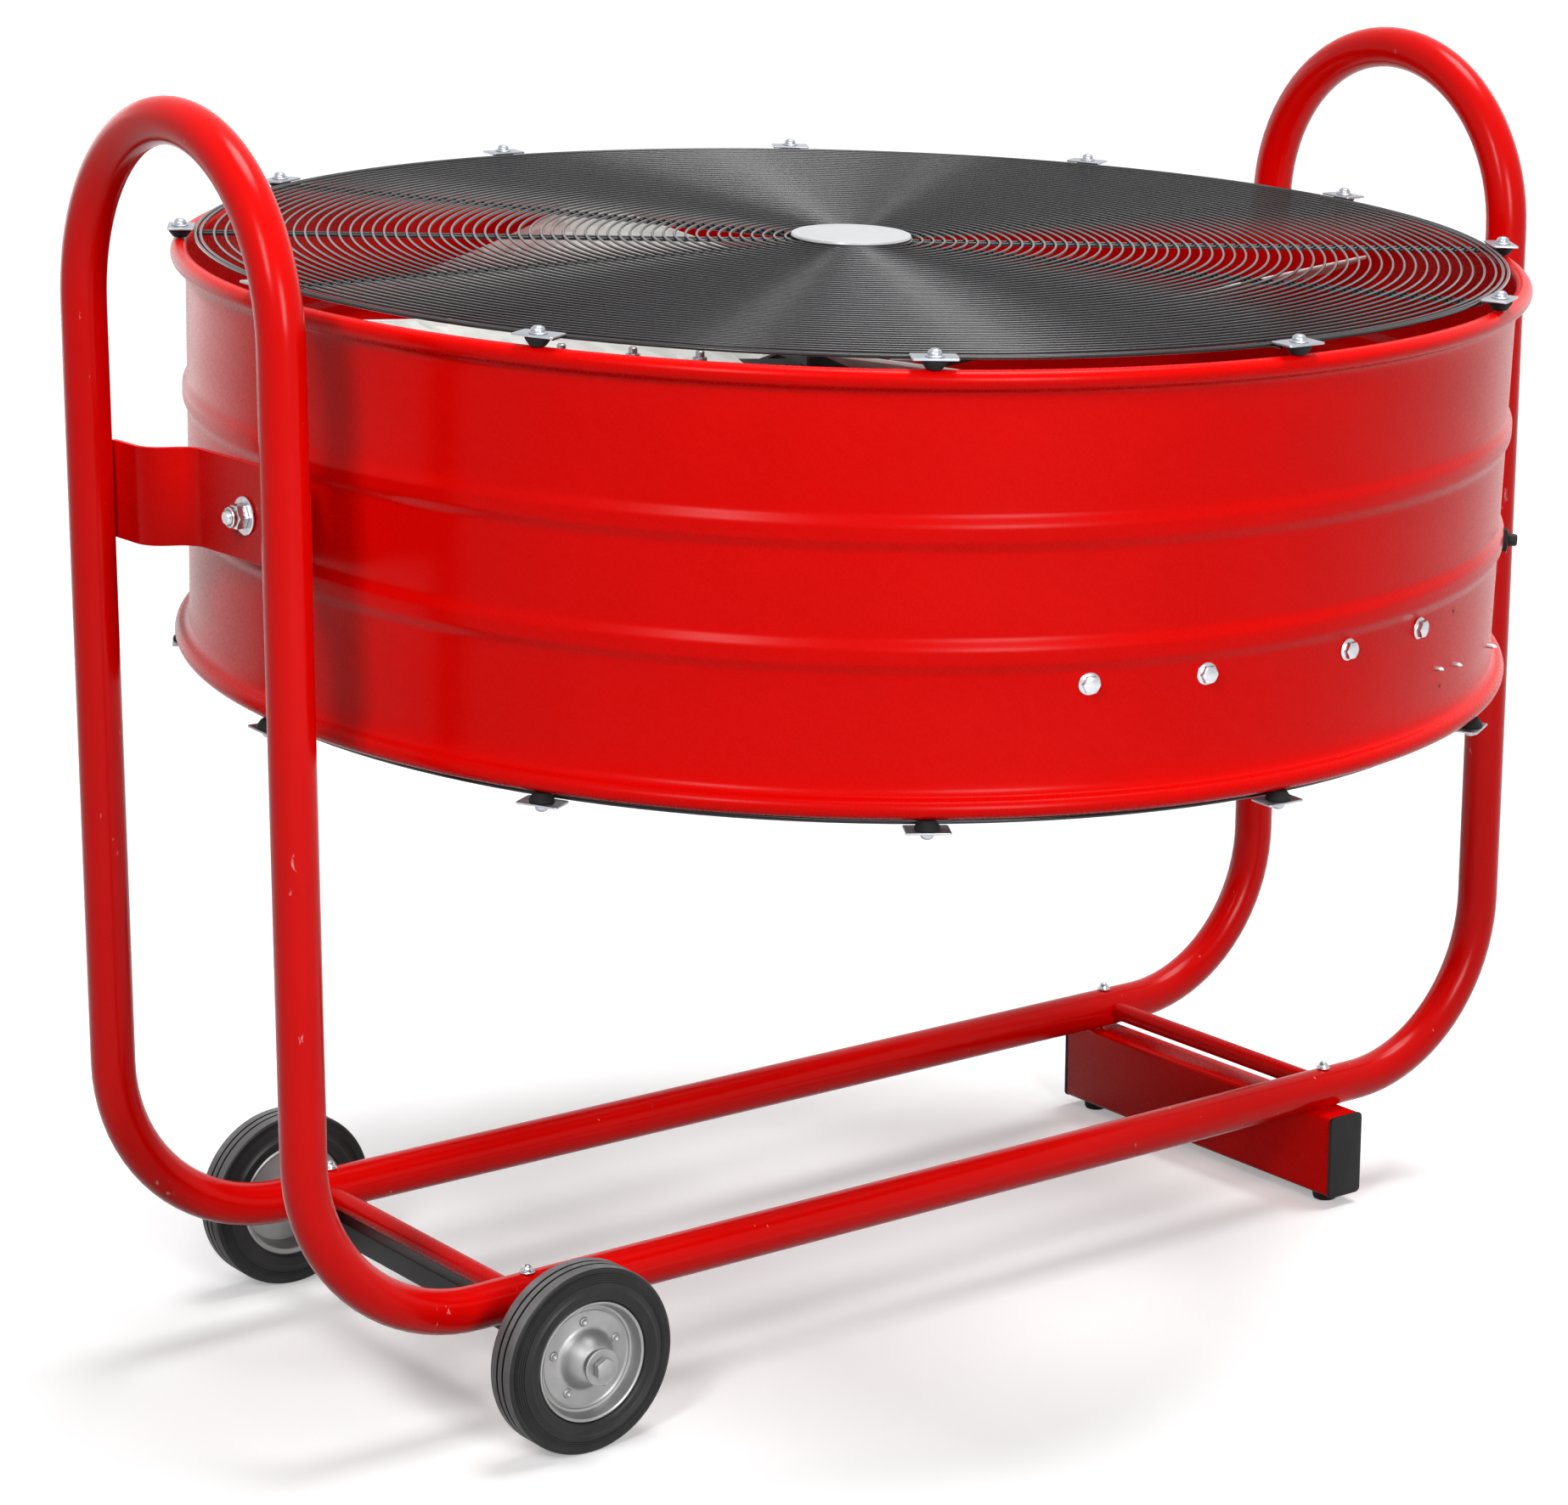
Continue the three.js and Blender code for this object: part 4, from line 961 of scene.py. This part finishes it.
# ---- Fan rotor -----------------------------------------
# Four wide blades of galvanised sheet, their leading edges rolled to a hem, bolted to the arms of
# a cast hub on the motor's shaft. Galvanising gives a bright grey with large, faint crystals.
BLADE_FROM, BLADE_TO, BLADE_T, BLADE_SAG = 95, 552, 2.5, 7
BLADE_UP, BLADE_LOW = (-101, -86), (60, 100)
BLADE_MID, BLADE_RISE, BLADE_DROP = 63, 0.085, 0.305
HEM_R, HEM_STEPS = 2.0, 12
SCREW = [(0, 0), (9, 0), (9, 1.6), (6.5, 1.8), (6.5, 6), (4, 6.2), (4, 11), (3, 12), (0, 12)]
SCREWS_AT = ((144, -23), (210, -30), (280, -36))

galvanised, tree = blank_material("galvanised_sheet")
place = add(tree, "ShaderNodeTexCoord").outputs["Object"]
crystals = add(tree, "ShaderNodeTexVoronoi", {"Vector": place, "Scale": 90}).outputs["Color"]
colour = add(tree, "ShaderNodeMix", {
    "Factor": crystals, 6: linear("C9C9C5"), 7: linear("DBDAD5")}, data_type="RGBA")
rough = add(tree, "ShaderNodeMapRange", {"Value": crystals, "To Min": 0.36, "To Max": 0.5})
metal = add(tree, "ShaderNodeBsdfPrincipled", {
    "Base Color": colour.outputs[2], "Metallic": 0.85, "Roughness": rough.outputs[0]})
add(tree, "ShaderNodeOutputMaterial", {"Surface": metal.outputs[0]})
dress_node("motor_shaft", zinc)
dress_node("fan_hub", cast_grey)


def blade_height(u, v):
    """The plane of a blade: it rises outwards and falls from its upper edge to its lower one."""
    return BLADE_MID + BLADE_RISE * u - BLADE_DROP * v


def blade_out(v, share):
    """How far out a line along the blade is at this share of its way to the tip."""
    return BLADE_FROM + (sqrt(BLADE_TO ** 2 - v * v) - BLADE_FROM) * share


def blade_sheet(steps_out=24, steps_across=20):
    """The blade's sheet along X: its tip follows the drum, and it is a little hollow."""
    bm = bmesh.new()
    grid = []
    for i in range(steps_out + 1):
        share, row = i / steps_out, []
        up, low = (root + (tip - root) * share for root, tip in (BLADE_UP, BLADE_LOW))
        for j in range(steps_across + 1):
            across = j / steps_across
            v = up + (low - up) * across
            u = blade_out(v, share)
            z = blade_height(u, v) - 4 * BLADE_SAG * across * (1 - across)
            row.append([bm.verts.new((u, v, z + h)) for h in (0, BLADE_T)])
        grid.append(row)
    for i in range(steps_out):
        for j in range(steps_across):
            a, b, c, d = grid[i][j], grid[i + 1][j], grid[i + 1][j + 1], grid[i][j + 1]
            bm.faces.new((a[1], b[1], c[1], d[1]))
            bm.faces.new((a[0], d[0], c[0], b[0]))
    rim = [row[0] for row in grid] + grid[-1][1:]
    rim += [row[-1] for row in grid[-2::-1]] + grid[0][-2:0:-1]
    for here, there in zip(rim, rim[1:] + rim[:1]):
        bm.faces.new((here[0], there[0], there[1], here[1]))
    bmesh.ops.recalc_face_normals(bm, faces=bm.faces)
    return bm


hem_section = [(HEM_R * cos(pi * k / 5), HEM_R * sin(pi * k / 5)) for k in range(10)]
# The hems get a near-white, barely metallic finish: a painted highlight along each leading edge.
hem_painted_highlight = bright_zinc("bright_rolled_hem", 0.4, 120, "F0F0EE", "DFDFDC", metallic=0.35)
lean = Matrix(((1, 0, 0, 0), (0, 1, 0, 0), (BLADE_RISE, -BLADE_DROP, 1, BLADE_MID + BLADE_T / 2),
               (0, 0, 0, 1)))
for i in range(4):
    seat = DRUM @ Matrix.Rotation(radians(90 * i), 4, "Z")
    fitted(f"sheet_blade_{i + 1}", placed(blade_sheet(), seat), "rotor", galvanised,
           f"fan_blade_{i + 1}")
    shares = [k / HEM_STEPS for k in range(HEM_STEPS + 1)]
    edge = [(share, BLADE_UP[0] + (BLADE_UP[1] - BLADE_UP[0]) * share) for share in shares]
    line = [Vector((blade_out(v, share), v)) for share, v in edge]
    fitted(f"blade_hem_{i + 1}", placed(swept(line, hem_section), seat @ lean), "rotor",
           hem_painted_highlight)
    spots = [(u, v, blade_height(u, v) - BLADE_SAG + BLADE_T + 0.6) for u, v in SCREWS_AT]
    screws = together(*((turned(SCREW, 24), seat @ Matrix.Translation(spot)) for spot in spots))
    fitted(f"blade_screws_{i + 1}", screws, "rotor", zinc)
